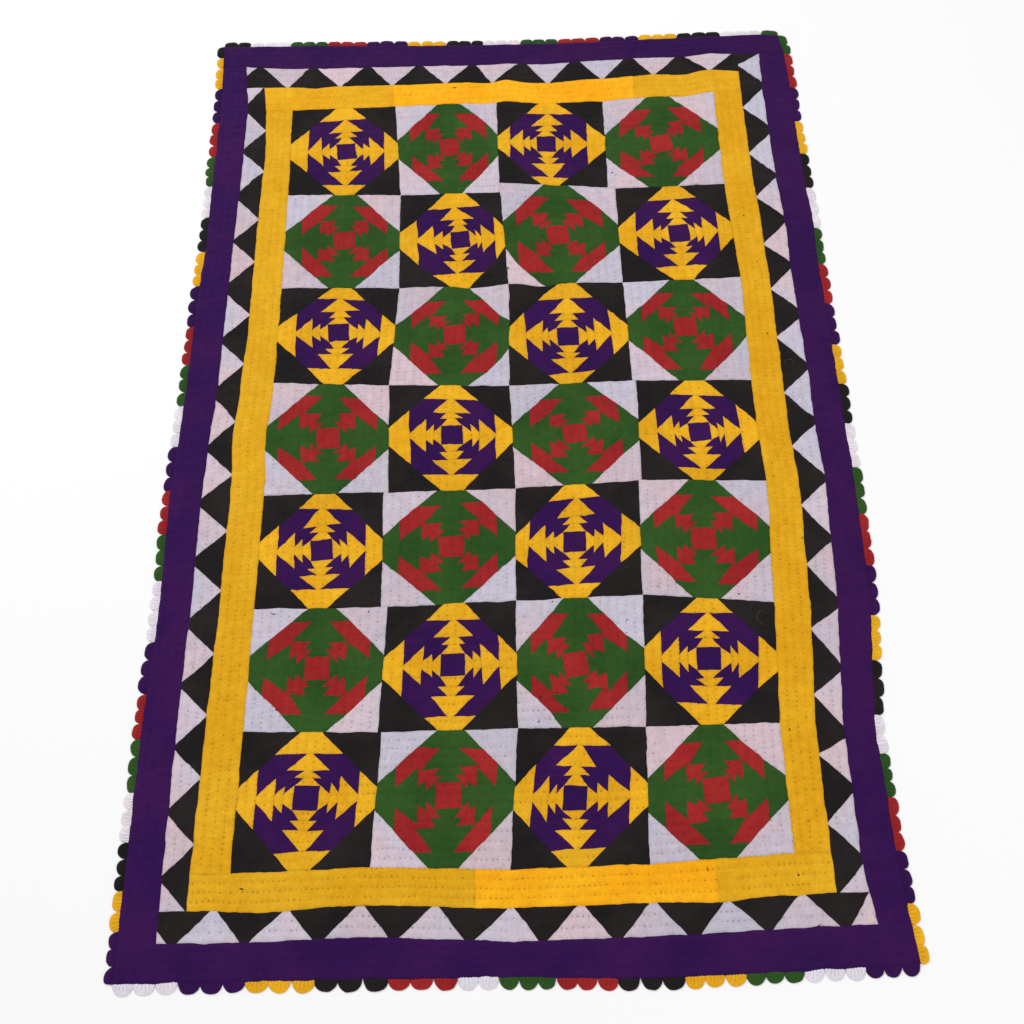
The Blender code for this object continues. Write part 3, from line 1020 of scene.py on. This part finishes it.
def border_loop(faces):
    """The points round the rim of a triangulated face, in order."""
    ends = {(f[k], f[(k + 1) % 3]) for f in faces for k in range(3)}
    following = {a: b for a, b in ends if (b, a) not in ends}
    first = next(iter(sorted(following)))
    loop = [first]
    while following[loop[-1]] != first:
        loop.append(following[loop[-1]])
    return loop


# Points of all upper faces, which the loose ends of thread lie on
UPPER_FACES = []

# What the triangulation is asked for: triangles inside its outline alone
TRIANGLES_INSIDE = 1

# Stands for the patch of a face that lies in none
NO_PATCH = 99


def build_shell(name, plan, pairs, seed, cloths, hem=None):
    """A closed shell of cloth: the dressed upper face, its rim and a flat back."""
    points = [tuple(p) for p in (*plan.points, *free_points(plan))]
    patches = [loop for loop, _ in plan.patches]
    found = delaunay_2d_cdt(points, plan.edges, patches, TRIANGLES_INSIDE, JOIN_DISTANCE)
    flat, faces, face_patches = np.array([tuple(v) for v in found[0]]), found[2], found[5]
    corners = [plan.points[i] for i in plan.outline]
    edges = list(zip(corners, corners[1:] + corners[:1]))
    seams = [s for s in plan.seams if not on_edge(s, edges)]
    height = dressed_height(flat, pairs, seed, seams, edges, hem)
    UPPER_FACES.append(np.column_stack([flat, height]))
    rim = border_loop(faces)
    lower = {i: len(flat) + k for k, i in enumerate(rim)}
    places = np.column_stack([flat, height])
    places = np.vstack([places, np.column_stack([flat[rim], np.zeros(len(rim))])])
    cloth_of_face = [plan.patches[own[0]][1] if own else 0 for own in face_patches]
    numbers = [own[0] if own else NO_PATCH for own in face_patches]
    shades = [0.5 + 0.5 * unevenness(number, seed, 5) for number in numbers]
    walls = [(j, i, lower[i], lower[j]) for i, j in zip(rim, rim[1:] + rim[:1])]
    back = [[lower[i] for i in reversed(rim)]]
    back_index = len(cloths)
    cloth_of_face += [0] * len(walls) + [back_index]
    shades += [0.5] * (len(walls) + 1)
    shadow = np.zeros(len(places))
    shadow[: len(flat)] = shadow_at(flat, pairs, seed, seams + edges)
    all_faces = [*faces, *walls, *back]
    return add_object(name, places, all_faces, [*cloths, "back"], cloth_of_face, shadow, shades)


def on_edge(seam, edges):
    """Whether a seam line lies on the outline of its piece."""
    return distance_to(np.array([(seam[0] + seam[1]) / 2]), edges)[0] < ON_LINE


# Blocks

# Cloths of the corners, of the arrowheads, and of the diagonals and the centre square
CORNER, ARROWHEAD, DIAGONAL = 0, 1, 2
BLOCK_CLOTHS = {"dark": ("black", "gold", "purple"), "light": ("white", "green", "red")}


def kind_of_block(row, column):
    return "light" if (row + column) % 2 else "dark"


def block_pairs(row, column):
    """The families of stitched rows of one block, which follow the nearest side of the quilt."""
    near_right, far_right, far_left, near_left = block_corners(row, column)
    from_side = min(column, COLUMNS_OF_BLOCKS - 1 - column)
    from_end = min(row, ROWS_OF_BLOCKS - 1 - row)
    across = [[far_left, far_right], [near_left, near_right], BLOCK_SPACES, 0]
    lengthwise = [[far_left, near_left], [far_right, near_right], BLOCK_SPACES, 1]
    if row != from_end:
        across[0], across[1] = across[1], across[0]
    if column != from_side:
        lengthwise[0], lengthwise[1] = lengthwise[1], lengthwise[0]
    if from_end == from_side:
        return [across, lengthwise]
    return [across] if from_end < from_side else [lengthwise]


def cross(a, b):
    return a[0] * b[1] - a[1] * b[0]


def turned(place, middle, degrees):
    angle = radians(degrees)
    x, y = place - middle
    return middle + np.array((x * cos(angle) - y * sin(angle), x * sin(angle) + y * cos(angle)))


def corners_wider(row, column):
    """How much wider each corner of one block is, at its sides and at its last seams."""
    wider = [(0.0, 0.0)] * 4
    for at_row, at_column, corner, at_side, at_seam in WIDE_CORNERS:
        if (at_row, at_column) == (row, column):
            wider[corner] = (at_side / 1000, at_seam / 1000)
    return wider


def corner_beside(i, sign):
    """The corner at one end of side i."""
    return i if sign == 1 else (i - 1) % 4


def seam_key(row, column, i, k):
    """A number of its own for each seam of each block."""
    return (row * COLUMNS_OF_BLOCKS + column) * 16 + i * 4 + k


def block_design(row, column):
    """The corners of every patch, in shares of the block's side from its middle."""
    rounds = ROUNDS[kind_of_block(row, column)]
    right, far, twist, *last = BLOCKS[row][column]
    square = np.array((right, far)) / 1000
    wider = corners_wider(row, column)
    outward = [np.array(v, float) for v in ((1, 0), (0, 1), (-1, 0), (0, -1))]
    base, end = {}, {}
    middles, lines = {}, {}
    for i, out in enumerate(outward):
        side = np.array((-out[1], out[0]))
        first = rounds["base"][0] + square @ out
        for k, share in enumerate(rounds["share"]):
            key = seam_key(row, column, i, k)
            if k in (1, 2):
                share += SHARE_SHAKE * unevenness(key, 6)
            reach = first + (last[i] / 1000 - first) * share
            kept = 1 - share * (1 - DRIFT_OF_LAST_ROUND)
            middle = out * reach + side * (square @ side) * kept
            tilt = twist * (1 - share) + BASE_TILT * unevenness(key, 1) * (k > 0)
            line = turned(side, np.zeros(2), tilt)
            middles[i, k], lines[i, k] = middle, line
            for sign in (-1, 1):
                half = rounds["base"][k] + SEAM_SHAKE * unevenness(key, 2, sign + 3)
                base[i, k, sign] = middle + line * half * sign
        middles[i, 4] = out * 0.5 + side * (square @ side) * DRIFT_OF_LAST_ROUND
        lines[i, 4] = side
    half = rounds["base"][0]
    for i in range(4):
        out, side = outward[i], np.array((-outward[i][1], outward[i][0]))
        corner = turned(square + (out + side) * half, square, twist)
        base[i, 0, 1] = base[(i + 1) % 4, 0, -1] = corner
    for i in range(4):
        for k in range(4):
            key = seam_key(row, column, i, k)
            for sign in (-1, 1):
                half = rounds["end"][k] + SEAM_SHAKE * unevenness(key, 4, sign + 3)
                half = max(half, NARROWEST_END)
                if k == 3:
                    half += wider[corner_beside(i, sign)][0]
                end[i, k, sign] = middles[i, k + 1] + lines[i, k + 1] * half * sign
    for i in range(4):
        for sign in (-1, 1):
            start, long_side = end[i, 3, sign], end[(i + sign) % 4, 3, -sign] - end[i, 3, sign]
            reach = cross(start - middles[i, 3], long_side) / cross(lines[i, 3], long_side)
            reach += CORNER_SHAKE * unevenness(row * COLUMNS_OF_BLOCKS + column, 8, i + 4 * sign)
            at_side, at_seam = wider[corner_beside(i, sign)]
            reach += sign * (at_seam - at_side)
            base[i, 3, sign] = middles[i, 3] + lines[i, 3] * reach
    return base, end


def block_plan(row, column):
    near_right, far_right, far_left, near_left = block_corners(row, column)
    sides = block_sides(row, column)
    plan = Plan()

    def place(spot):
        across, down = spot[0] + 0.5, 0.5 - spot[1]
        far = far_left + (far_right - far_left) * across
        near = near_left + (near_right - near_left) * across
        return far + (near - far) * down

    def place_on_side(i, spot):
        axis = (1, 0)[i % 2]
        return level_with(sides[i], axis, place(spot)[axis])

    base, end = block_design(row, column)
    base_at, end_at = {}, {}
    for i in range(4):
        corner = plan.add(place(base[i, 0, 1]))
        base_at[i, 0, 1] = base_at[(i + 1) % 4, 0, -1] = corner
    for i in range(4):
        for k in range(4):
            for sign in (-1, 1):
                if k > 0:
                    base_at[i, k, sign] = plan.add(place(base[i, k, sign]))
                spot = end[i, k, sign]
                end_at[i, k, sign] = plan.add(place(spot) if k < 3 else place_on_side(i, spot))
    before, after = [], []
    for side in sides:
        is_early = [np.linalg.norm(p - side[0]) < np.linalg.norm(p - side[-1]) for p in side]
        before.append([plan.add(p) for p, early in zip(side, is_early) if early])
        after.append([plan.add(p) for p, early in zip(side[:-1], is_early) if not early])
    rim = []
    for i in range(4):
        rim += [*before[i], end_at[i, 3, -1], end_at[i, 3, 1], *after[i]]
    plan.close(rim)
    plan.patch([base_at[i, 0, 1] for i in range(4)], DIAGONAL)
    for i in range(4):
        turn = (i + 1) % 4
        for k in range(4):
            seam = [end_at[i, k - 1, -1], end_at[i, k - 1, 1]] if k > 0 else []
            arrow = [base_at[i, k, -1], *seam, base_at[i, k, 1], end_at[i, k, 1], end_at[i, k, -1]]
            plan.patch(arrow, ARROWHEAD)
            inner = [end_at[i, k, 1], base_at[i, k, 1]]
            if k > 0:
                inner.append(base_at[turn, k, -1])
            inner.append(end_at[turn, k, -1])
            if k < 3:
                outer = [base_at[turn, k + 1, -1], base_at[i, k + 1, 1]]
                plan.patch([*inner, *outer], DIAGONAL)
            else:
                plan.patch([*inner, *before[turn][::-1], *after[i][::-1]], CORNER)
    return plan


def build_block(row, column):
    kind = kind_of_block(row, column)
    number = f"{row + 1}_{column + 1}"
    seed = BLOCK_SEED + row * COLUMNS_OF_BLOCKS + column
    pairs = block_pairs(row, column)
    plan = block_plan(row, column)
    shell = build_shell(f"patchwork_{number}", plan, pairs, seed, BLOCK_CLOTHS[kind])
    declare(shell, f"block_{number}", block_corners(row, column))
    return pairs, seed


# Strips of the frames

# Places along a strip that lie before and after all its corners, in mm
ENDS = {"start": -9999, "end": 9999}


def strip_plan(side, strip, patches):
    """The plan of one strip. A patch is its cloth number and corners, as in WHITE_CORNERS."""
    edges = strip_edges(side, strip)
    axis = axis_of(side)
    way = -1 if axis == 1 else 1
    plan = Plan()
    known = {}

    def index_of(place):
        spot = tuple(np.round(place, 4))
        if spot not in known:
            known[spot] = plan.add(spot)
        return known[spot]

    def corner(along, depth):
        if along == "start":
            a, b = (edge[0] for edge in edges)
        elif along == "end":
            a, b = (edge[-1] for edge in edges)
        else:
            a, b = (level_with(edge, axis, along) for edge in edges)
        return index_of(a + (b - a) * depth)

    def passed(first, last):
        """The bends of an edge that a patch passes on its way between two of its corners."""
        if first[1] != last[1] or first[1] not in (0, 1):
            return []
        spots = [ENDS[f] if f in ENDS else f * way for f in (first[0], last[0])]
        bends = [b for b in edges[first[1]][1:-1] if min(spots) < b[axis] * way < max(spots)]
        return [index_of(b) for b in (bends if spots[0] < spots[1] else bends[::-1])]

    loops = []
    for number, spots in patches:
        loop = []
        for first, last in zip(spots, spots[1:] + spots[:1]):
            loop += [corner(*first), *passed(first, last)]
        loops.append((number, loop))
    for edge in edges:
        for place in edge:
            index_of(place)
    rim = []
    for start, end in rim_segments(*edges):
        on_line = [i for i in known.values() if lies_on(plan.points[i], start, end)]
        on_line.sort(key=lambda i: np.linalg.norm(plan.points[i] - start))
        rim += on_line[:-1]
    plan.close(rim)
    for number, loop in loops:
        plan.patch(loop, number)
    return plan


def rim_segments(inner, outer):
    corners = [*outer, *inner[::-1]]
    around = zip(corners, corners[1:] + corners[:1])
    return [(a, b) for a, b in around if np.linalg.norm(b - a) > SHORTEST_SEGMENT]


def lies_on(place, start, end):
    return distance_to(np.array([place]), [(start, end)])[0] < ON_LINE


def white_patches(side):
    half = WHITE_POINT_WIDTH[side] / 2
    way = -1 if axis_of(side) == 1 else 1
    patches = []
    for start, point, end in WHITE_TRIANGLES[side]:
        corners = ((start, 1), (point - way * half, 0), (point + way * half, 0), (end, 1))
        patches.append((1, corners))
    patches += [(1, corners) for corners in WHITE_CORNERS[side]]
    return patches


def yellow_patches(side):
    patches, start = [], "start"
    for end, number in YELLOW_LENGTHS[side]:
        patches.append((number, ((start, 1), (end, 1), (end, 0), (start, 0))))
        start = end
    return patches


STRIP_CLOTHS = {
    "yellow": ("yellow_0", "yellow_1", "yellow_2"),
    "triangle": ("black", "white"),
    "purple": ("purple",),
}
STRIP_PATCHES = {
    "yellow": yellow_patches,
    "triangle": white_patches,
    "purple": lambda side: [],
}


def build_strip(side, strip):
    inner, outer = strip_edges(side, strip)
    pairs = [(inner, outer, FRAME_SPACES[strip], axis_of(side))]
    seed = STRIP_SEED + 10 * FRAMES.index(strip) + list(OUTWARD).index(side)
    plan = strip_plan(side, strip, STRIP_PATCHES[strip](side))
    hem = edge_segments(outer) if strip == "purple" else None
    shell = build_shell(f"{strip}_strip_{side}", plan, pairs, seed, STRIP_CLOTHS[strip], hem)
    pieces = [build_petals(side)] if strip == "purple" else []
    declare(shell, f"{strip}_{side}", [*outer, *inner[::-1]])
    return pairs, seed


# Edging

def along_edge(edge, distance):
    """The point of an edge at a distance from its start."""
    for start, end in zip(edge, edge[1:]):
        length = np.linalg.norm(end - start)
        if distance <= length:
            return start + (end - start) * distance / length
        distance -= length
    return edge[-1]


def crown_height(evenly, share):
    """Height of a petal without its pleats: a crown that falls to the rim and the sides."""
    height = PETAL_ROOT_HEIGHT + (PETAL_CROWN - PETAL_ROOT_HEIGHT) * sin(pi * share) ** CROWN_POWER
    height += (PETAL_RIM_HEIGHT - PETAL_ROOT_HEIGHT) * share**RIM_POWER
    return height - (height - PETAL_RIM_HEIGHT) * abs(evenly) ** SIDE_POWER


def pleat_at(evenly, share, shift):
    """How far the gathered cloth rises or sinks in its pleats, from -1 to 1."""
    pleat = cos(PETAL_PLEATS * pi * evenly + shift) * sin(pi * share) ** PLEAT_RISE_POWER
    return pleat * (1 - share**2) * (1 - abs(evenly) ** PLEAT_FADE_POWER)


def petal(edge, outward, middle, width, power, longest, seed):
    """Places and faces of one gathered petal, closed by a flat underside."""
    depth = longest * (1 + PETAL_DEPTH_SHAKE * unevenness(seed, 1))
    lean = PETAL_LEAN * unevenness(seed, 2)
    lift = PETAL_LIFT * unevenness(seed, 4)
    shift = PLEAT_SHIFT * unevenness(seed, 3)
    direction = (edge[-1] - edge[0]) / np.linalg.norm(edge[-1] - edge[0])
    places, faces, shadow = [], [], []
    for ring in range(PETAL_RINGS + 1):
        share = ring / PETAL_RINGS
        for turn in range(PETAL_TURNS + 1):
            angle = pi * turn / PETAL_TURNS
            across = -np.sign(cos(angle)) * abs(cos(angle)) ** power
            evenly = 2 * turn / PETAL_TURNS - 1
            aside = (evenly + (across - evenly) * share) * width / 2
            reach = depth * max(sin(angle), 0.0) ** power * share
            root = along_edge(edge, middle + aside)
            flat = root + outward * (reach - PETAL_TUCK) + direction * lean * share
            pleat = pleat_at(evenly, share, shift)
            height = crown_height(evenly, share) + lift * (1 - share)
            places.append((*flat, height + PETAL_PLEAT_HEIGHT * pleat))
            shadow.append(max(0.0, -pleat) ** 2 * PLEAT_SHADOW)
    row = PETAL_TURNS + 1
    for ring in range(PETAL_RINGS):
        for turn in range(PETAL_TURNS):
            a = ring * row + turn
            faces.append((a, a + row, a + row + 1, a + 1))
    rim = list(range(row))
    rim += [ring * row + PETAL_TURNS for ring in range(1, PETAL_RINGS + 1)]
    rim += [PETAL_RINGS * row + k for k in range(PETAL_TURNS - 1, -1, -1)]
    rim += [ring * row for ring in range(PETAL_RINGS - 1, 0, -1)]
    first = len(places)
    places += [(*places[i][:2], PETAL_UNDERSIDE) for i in rim]
    low = {i: first + k for k, i in enumerate(rim)}
    for i, j in zip(rim, rim[1:] + rim[:1]):
        faces.append((i, j, low[j], low[i]))
    faces.append([low[i] for i in reversed(rim)])
    return places, faces, shadow + [0.0] * len(rim)


def build_petals(side):
    """All petals of one side in one mesh."""
    edge = frame_edge(side, "purple")
    length = sum(np.linalg.norm(b - a) for a, b in zip(edge, edge[1:]))
    scale = length / sum(run for _, run, _ in PETAL_GROUPS[side])
    groups = PETAL_GROUPS[side]
    cloths = sorted({PETAL_CLOTHS.get(name, name) for _, _, name in groups})
    places, faces, cloth_of_face, shades, shadow = [], [], [], [], []
    start, seed = 0.0, PETAL_SEED * (1 + list(OUTWARD).index(side))
    turned_way = side in ("left", "far")
    fullness, power, longest = PETAL_FORMS[side]
    for count, run, name in groups:
        width = run * scale / count
        cloth_index = cloths.index(PETAL_CLOTHS.get(name, name))
        for _ in range(count):
            seed += 1
            middle = start + width / 2
            made, sides, shaded = petal(
                edge, OUTWARD[side], middle, width * fullness, power, longest, seed
            )
            shadow += shaded
            offset = len(places)
            places += made
            for face in sides:
                face = [i + offset for i in face]
                faces.append(face if turned_way else face[::-1])
            cloth_of_face += [cloth_index] * len(sides)
            shades += [0.5 + 0.5 * unevenness(seed, 7)] * len(sides)
            start += width
    petals = add_object(f"petals_{side}", places, faces, cloths, cloth_of_face, shadow, shades)
    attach(petals, "root")
    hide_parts(f"edging_{side}")
    return petals


# Stitches

def row_line(pair, share):
    """The line of one stitched row, at a share of the way from the first edge to the last."""
    first, last, _, _ = pair
    return np.array([a + (b - a) * share for a, b in zip(first, last)])


def row_shares(spaces, has_hem):
    """The rows of one piece: how far each lies between its edges, and its number."""
    shares = [(ROW_BESIDE_SEAM / spaces, 0)] + [(k / spaces, k) for k in range(1, spaces)]
    if has_hem:
        shares.append((1 - ROW_BESIDE_HEM / spaces, spaces))
    return shares


def stitches_of_row(pair, share, row, seed):
    """Middles, directions and strengths of the stitches of one row."""
    axis = pair[3]
    line = row_line(pair, share)
    line = line[np.argsort(line[:, axis])]
    start = float(stitch_start(row, seed))
    low, high = line[0, axis] + ROW_END, line[-1, axis] - ROW_END
    first, last = ceil((low - start) / STITCH_PITCH), floor((high - start) / STITCH_PITCH)
    steps = np.arange(first, last + 1)
    rows = np.full(len(steps), row)
    along = start + steps * STITCH_PITCH
    along = along + STITCH_WANDER * soft_noise(along / STITCH_WANDER_LENGTH, rows + 0.5, seed)
    aside = ROW_WANDER * soft_noise(along / ROW_WANDER_LENGTH, rows + 0.5, seed + 9)
    here = np.interp(along, line[:, axis], line[:, 1 - axis])
    ahead = np.interp(along + LOOK_AHEAD, line[:, axis], line[:, 1 - axis])
    middles, ways = np.empty((len(along), 2)), np.empty((len(along), 2))
    middles[:, axis], middles[:, 1 - axis] = along, here + aside
    ways[:, axis], ways[:, 1 - axis] = LOOK_AHEAD, ahead - here
    ways /= np.linalg.norm(ways, axis=1)[:, None]
    return middles, ways, stitch_strength(steps, rows, seed) * drawn_by_place(middles)


def stitches_of(pairs, seed, has_hem=False):
    """Middles, directions and heights of the stitches of one piece."""
    found = []
    for number, pair in enumerate(pairs):
        for share, row in row_shares(pair[2], has_hem):
            stitches = stitches_of_row(pair, share, row, seed)
            if len(pairs) > 1:
                kept = rows_at(stitches[0], pairs)[3] == number
                stitches = [part[kept] for part in stitches]
            found.append(stitches)
    middles, ways, strength = (np.concatenate(part) for part in zip(*found))
    height = relief(middles, pairs, seed, pitted=False) - PIT_DEPTH * strength * STITCH_SINK
    return middles, ways, height - np.maximum(1 - strength, 0) * WEAK_STITCH_SINK


def build_stitches(name, sets):
    """Running stitches as one joined mesh, each a small spindle of thread lying on the cloth."""
    middles, ways, heights = (np.concatenate(part) for part in zip(*sets))
    count = len(middles)
    sideways = np.column_stack([-ways[:, 1], ways[:, 0]])
    uneven = 2 * lattice(np.arange(count), np.int64(7), 9) - 1
    along = ways * STITCH_LENGTH / 2 * (1 + STITCH_UNEVENNESS * uneven)[:, None]
    across = sideways * STITCH_WIDTH / 2
    corners = (
        (middles - along, heights), (middles + along, heights),
        (middles - across, heights), (middles + across, heights),
        (middles, heights + STITCH_HEIGHT), (middles, heights - STITCH_HEIGHT / 2),
    )
    places = np.stack([np.column_stack([flat, z]) for flat, z in corners], axis=1)
    one = np.array(
        ((0, 2, 4), (2, 1, 4), (1, 3, 4), (3, 0, 4), (2, 0, 5), (1, 2, 5), (3, 1, 5), (0, 3, 5))
    )
    faces = (one[None] + 6 * np.arange(count)[:, None, None]).reshape(-1, 3).tolist()
    stitches = add_object(name, places.reshape(-1, 3), faces, ["thread"], [0] * len(faces))
    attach(stitches, "root")
    return stitches


# Loose ends of thread

def loose_end_path(place, length, direction, curl):
    """Points along a thread that curls evenly."""
    step = length / LOOSE_END_STEPS
    share = (np.arange(LOOSE_END_STEPS) + 0.5) / LOOSE_END_STEPS
    turns = radians(direction) + radians(curl) * share
    steps = np.column_stack([np.cos(turns), np.sin(turns)]) * step
    path = np.vstack([(0, 0), np.cumsum(steps, axis=0)])
    return path - path.mean(axis=0) + np.array(place, float)


def build_loose_ends():
    """All loose ends as one mesh of three-sided threads that lie on the cloth."""
    surface = np.vstack(UPPER_FACES)
    cloths = ["dark_lint", "pale_lint"]
    places, faces, cloth_of_face = [], [], []
    for place, length, direction, curl, name in LOOSE_ENDS:
        path = loose_end_path(place, length, direction, curl)
        ways = np.gradient(path, axis=0)
        ways /= np.linalg.norm(ways, axis=1)[:, None]
        share = (np.arange(len(path)) + LOOSE_END_TIP) / (len(path) - 1 + 2 * LOOSE_END_TIP)
        width = LOOSE_END_WIDTHS[name] * np.sqrt(np.sin(pi * share))[:, None]
        half = np.column_stack([-ways[:, 1], ways[:, 0]]) * width / 2
        apart = ((surface[None, :, :2] - path[:, None, :]) ** 2).sum(axis=2)
        height = surface[apart.argmin(axis=1), 2]
        first = len(places)
        for middle, aside, z in zip(path, half, height):
            places += [(*(middle - aside), z), (*(middle + aside), z)]
            places.append((*middle, z + LOOSE_END_HEIGHT))
        for k in range(first, len(places) - 3, 3):
            for a, b in ((0, 1), (1, 2), (2, 0)):
                faces.append((k + a, k + b, k + 3 + b, k + 3 + a))
        faces.append((first, first + 2, first + 1))
        faces.append((len(places) - 3, len(places) - 2, len(places) - 1))
        cloth_of_face += [cloths.index(name)] * (len(faces) - len(cloth_of_face))
    ends = add_object("loose_ends", places, faces, cloths, cloth_of_face)
    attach(ends, "root")


# Hanging each shell under the root

def declare(shell, node, outline):
    """Hangs a shell under the root and hides the solid that it stands for. The outline is not
    used.
    """
    outline = np.array(outline)
    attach(shell, "root")
    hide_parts(node)


# Stage

def build_floor():
    half = FLOOR_SIDE / 2
    mesh = bpy.data.meshes.new("floor")
    corners = [(-half, -half), (half, -half), (half, half), (-half, half)]
    mesh.from_pydata([(x, y, -FLOOR_DROP) for x, y in corners], [], [(0, 1, 2, 3)])
    material = bpy.data.materials.new("pale_floor")
    material.use_nodes = True
    shader = material.node_tree.nodes["Principled BSDF"]
    shader.inputs["Base Color"].default_value = (*FLOOR_COLOUR, 1)
    shader.inputs["Roughness"].default_value = FLOOR_ROUGHNESS
    mesh.materials.append(material)
    obj = bpy.data.objects.new("floor", mesh)
    bpy.context.scene.collection.objects.link(obj)


def add_light(name, place, size, power):
    light = bpy.data.lights.new(name, "AREA")
    light.size = size
    light.energy = power
    obj = bpy.data.objects.new(name, light)
    obj.location = place
    obj.rotation_euler = (-Vector(place)).to_track_quat("-Z", "Y").to_euler()
    bpy.context.scene.collection.objects.link(obj)


def build_studio():
    for name, (place, size, power) in LIGHTS.items():
        add_light(name, place, size, power)
    world = bpy.data.worlds.new("studio")
    world.use_nodes = True
    background = world.node_tree.nodes["Background"]
    background.inputs["Color"].default_value = (1, 1, 1, 1)
    background.inputs["Strength"].default_value = WORLD_STRENGTH
    bpy.context.scene.world = world
    bpy.context.scene.view_settings.view_transform = "Standard"


def build_camera():
    data = bpy.data.cameras.new("camera")
    data.lens = CAMERA_LENS
    data.sensor_width = CAMERA_SENSOR
    camera = bpy.data.objects.new("camera", data)
    x, y, z = (value * MM for value in CAMERA_PLACE)
    camera.location = (x + SHIFT[0], y + SHIFT[1], z)
    camera.rotation_euler = [radians(angle) for angle in CAMERA_TURN]
    bpy.context.scene.collection.objects.link(camera)
    bpy.context.scene.camera = camera


def main():
    build_camera()
    build_floor()
    build_studio()
    field, frames = [], []
    for row in range(ROWS_OF_BLOCKS):
        for column in range(COLUMNS_OF_BLOCKS):
            field.append(stitches_of(*build_block(row, column)))
    for side in OUTWARD:
        for strip in FRAMES:
            frames.append(stitches_of(*build_strip(side, strip), strip == "purple"))
    build_stitches("stitches_field", field)
    build_stitches("stitches_frames", frames)
    build_loose_ends()


main()
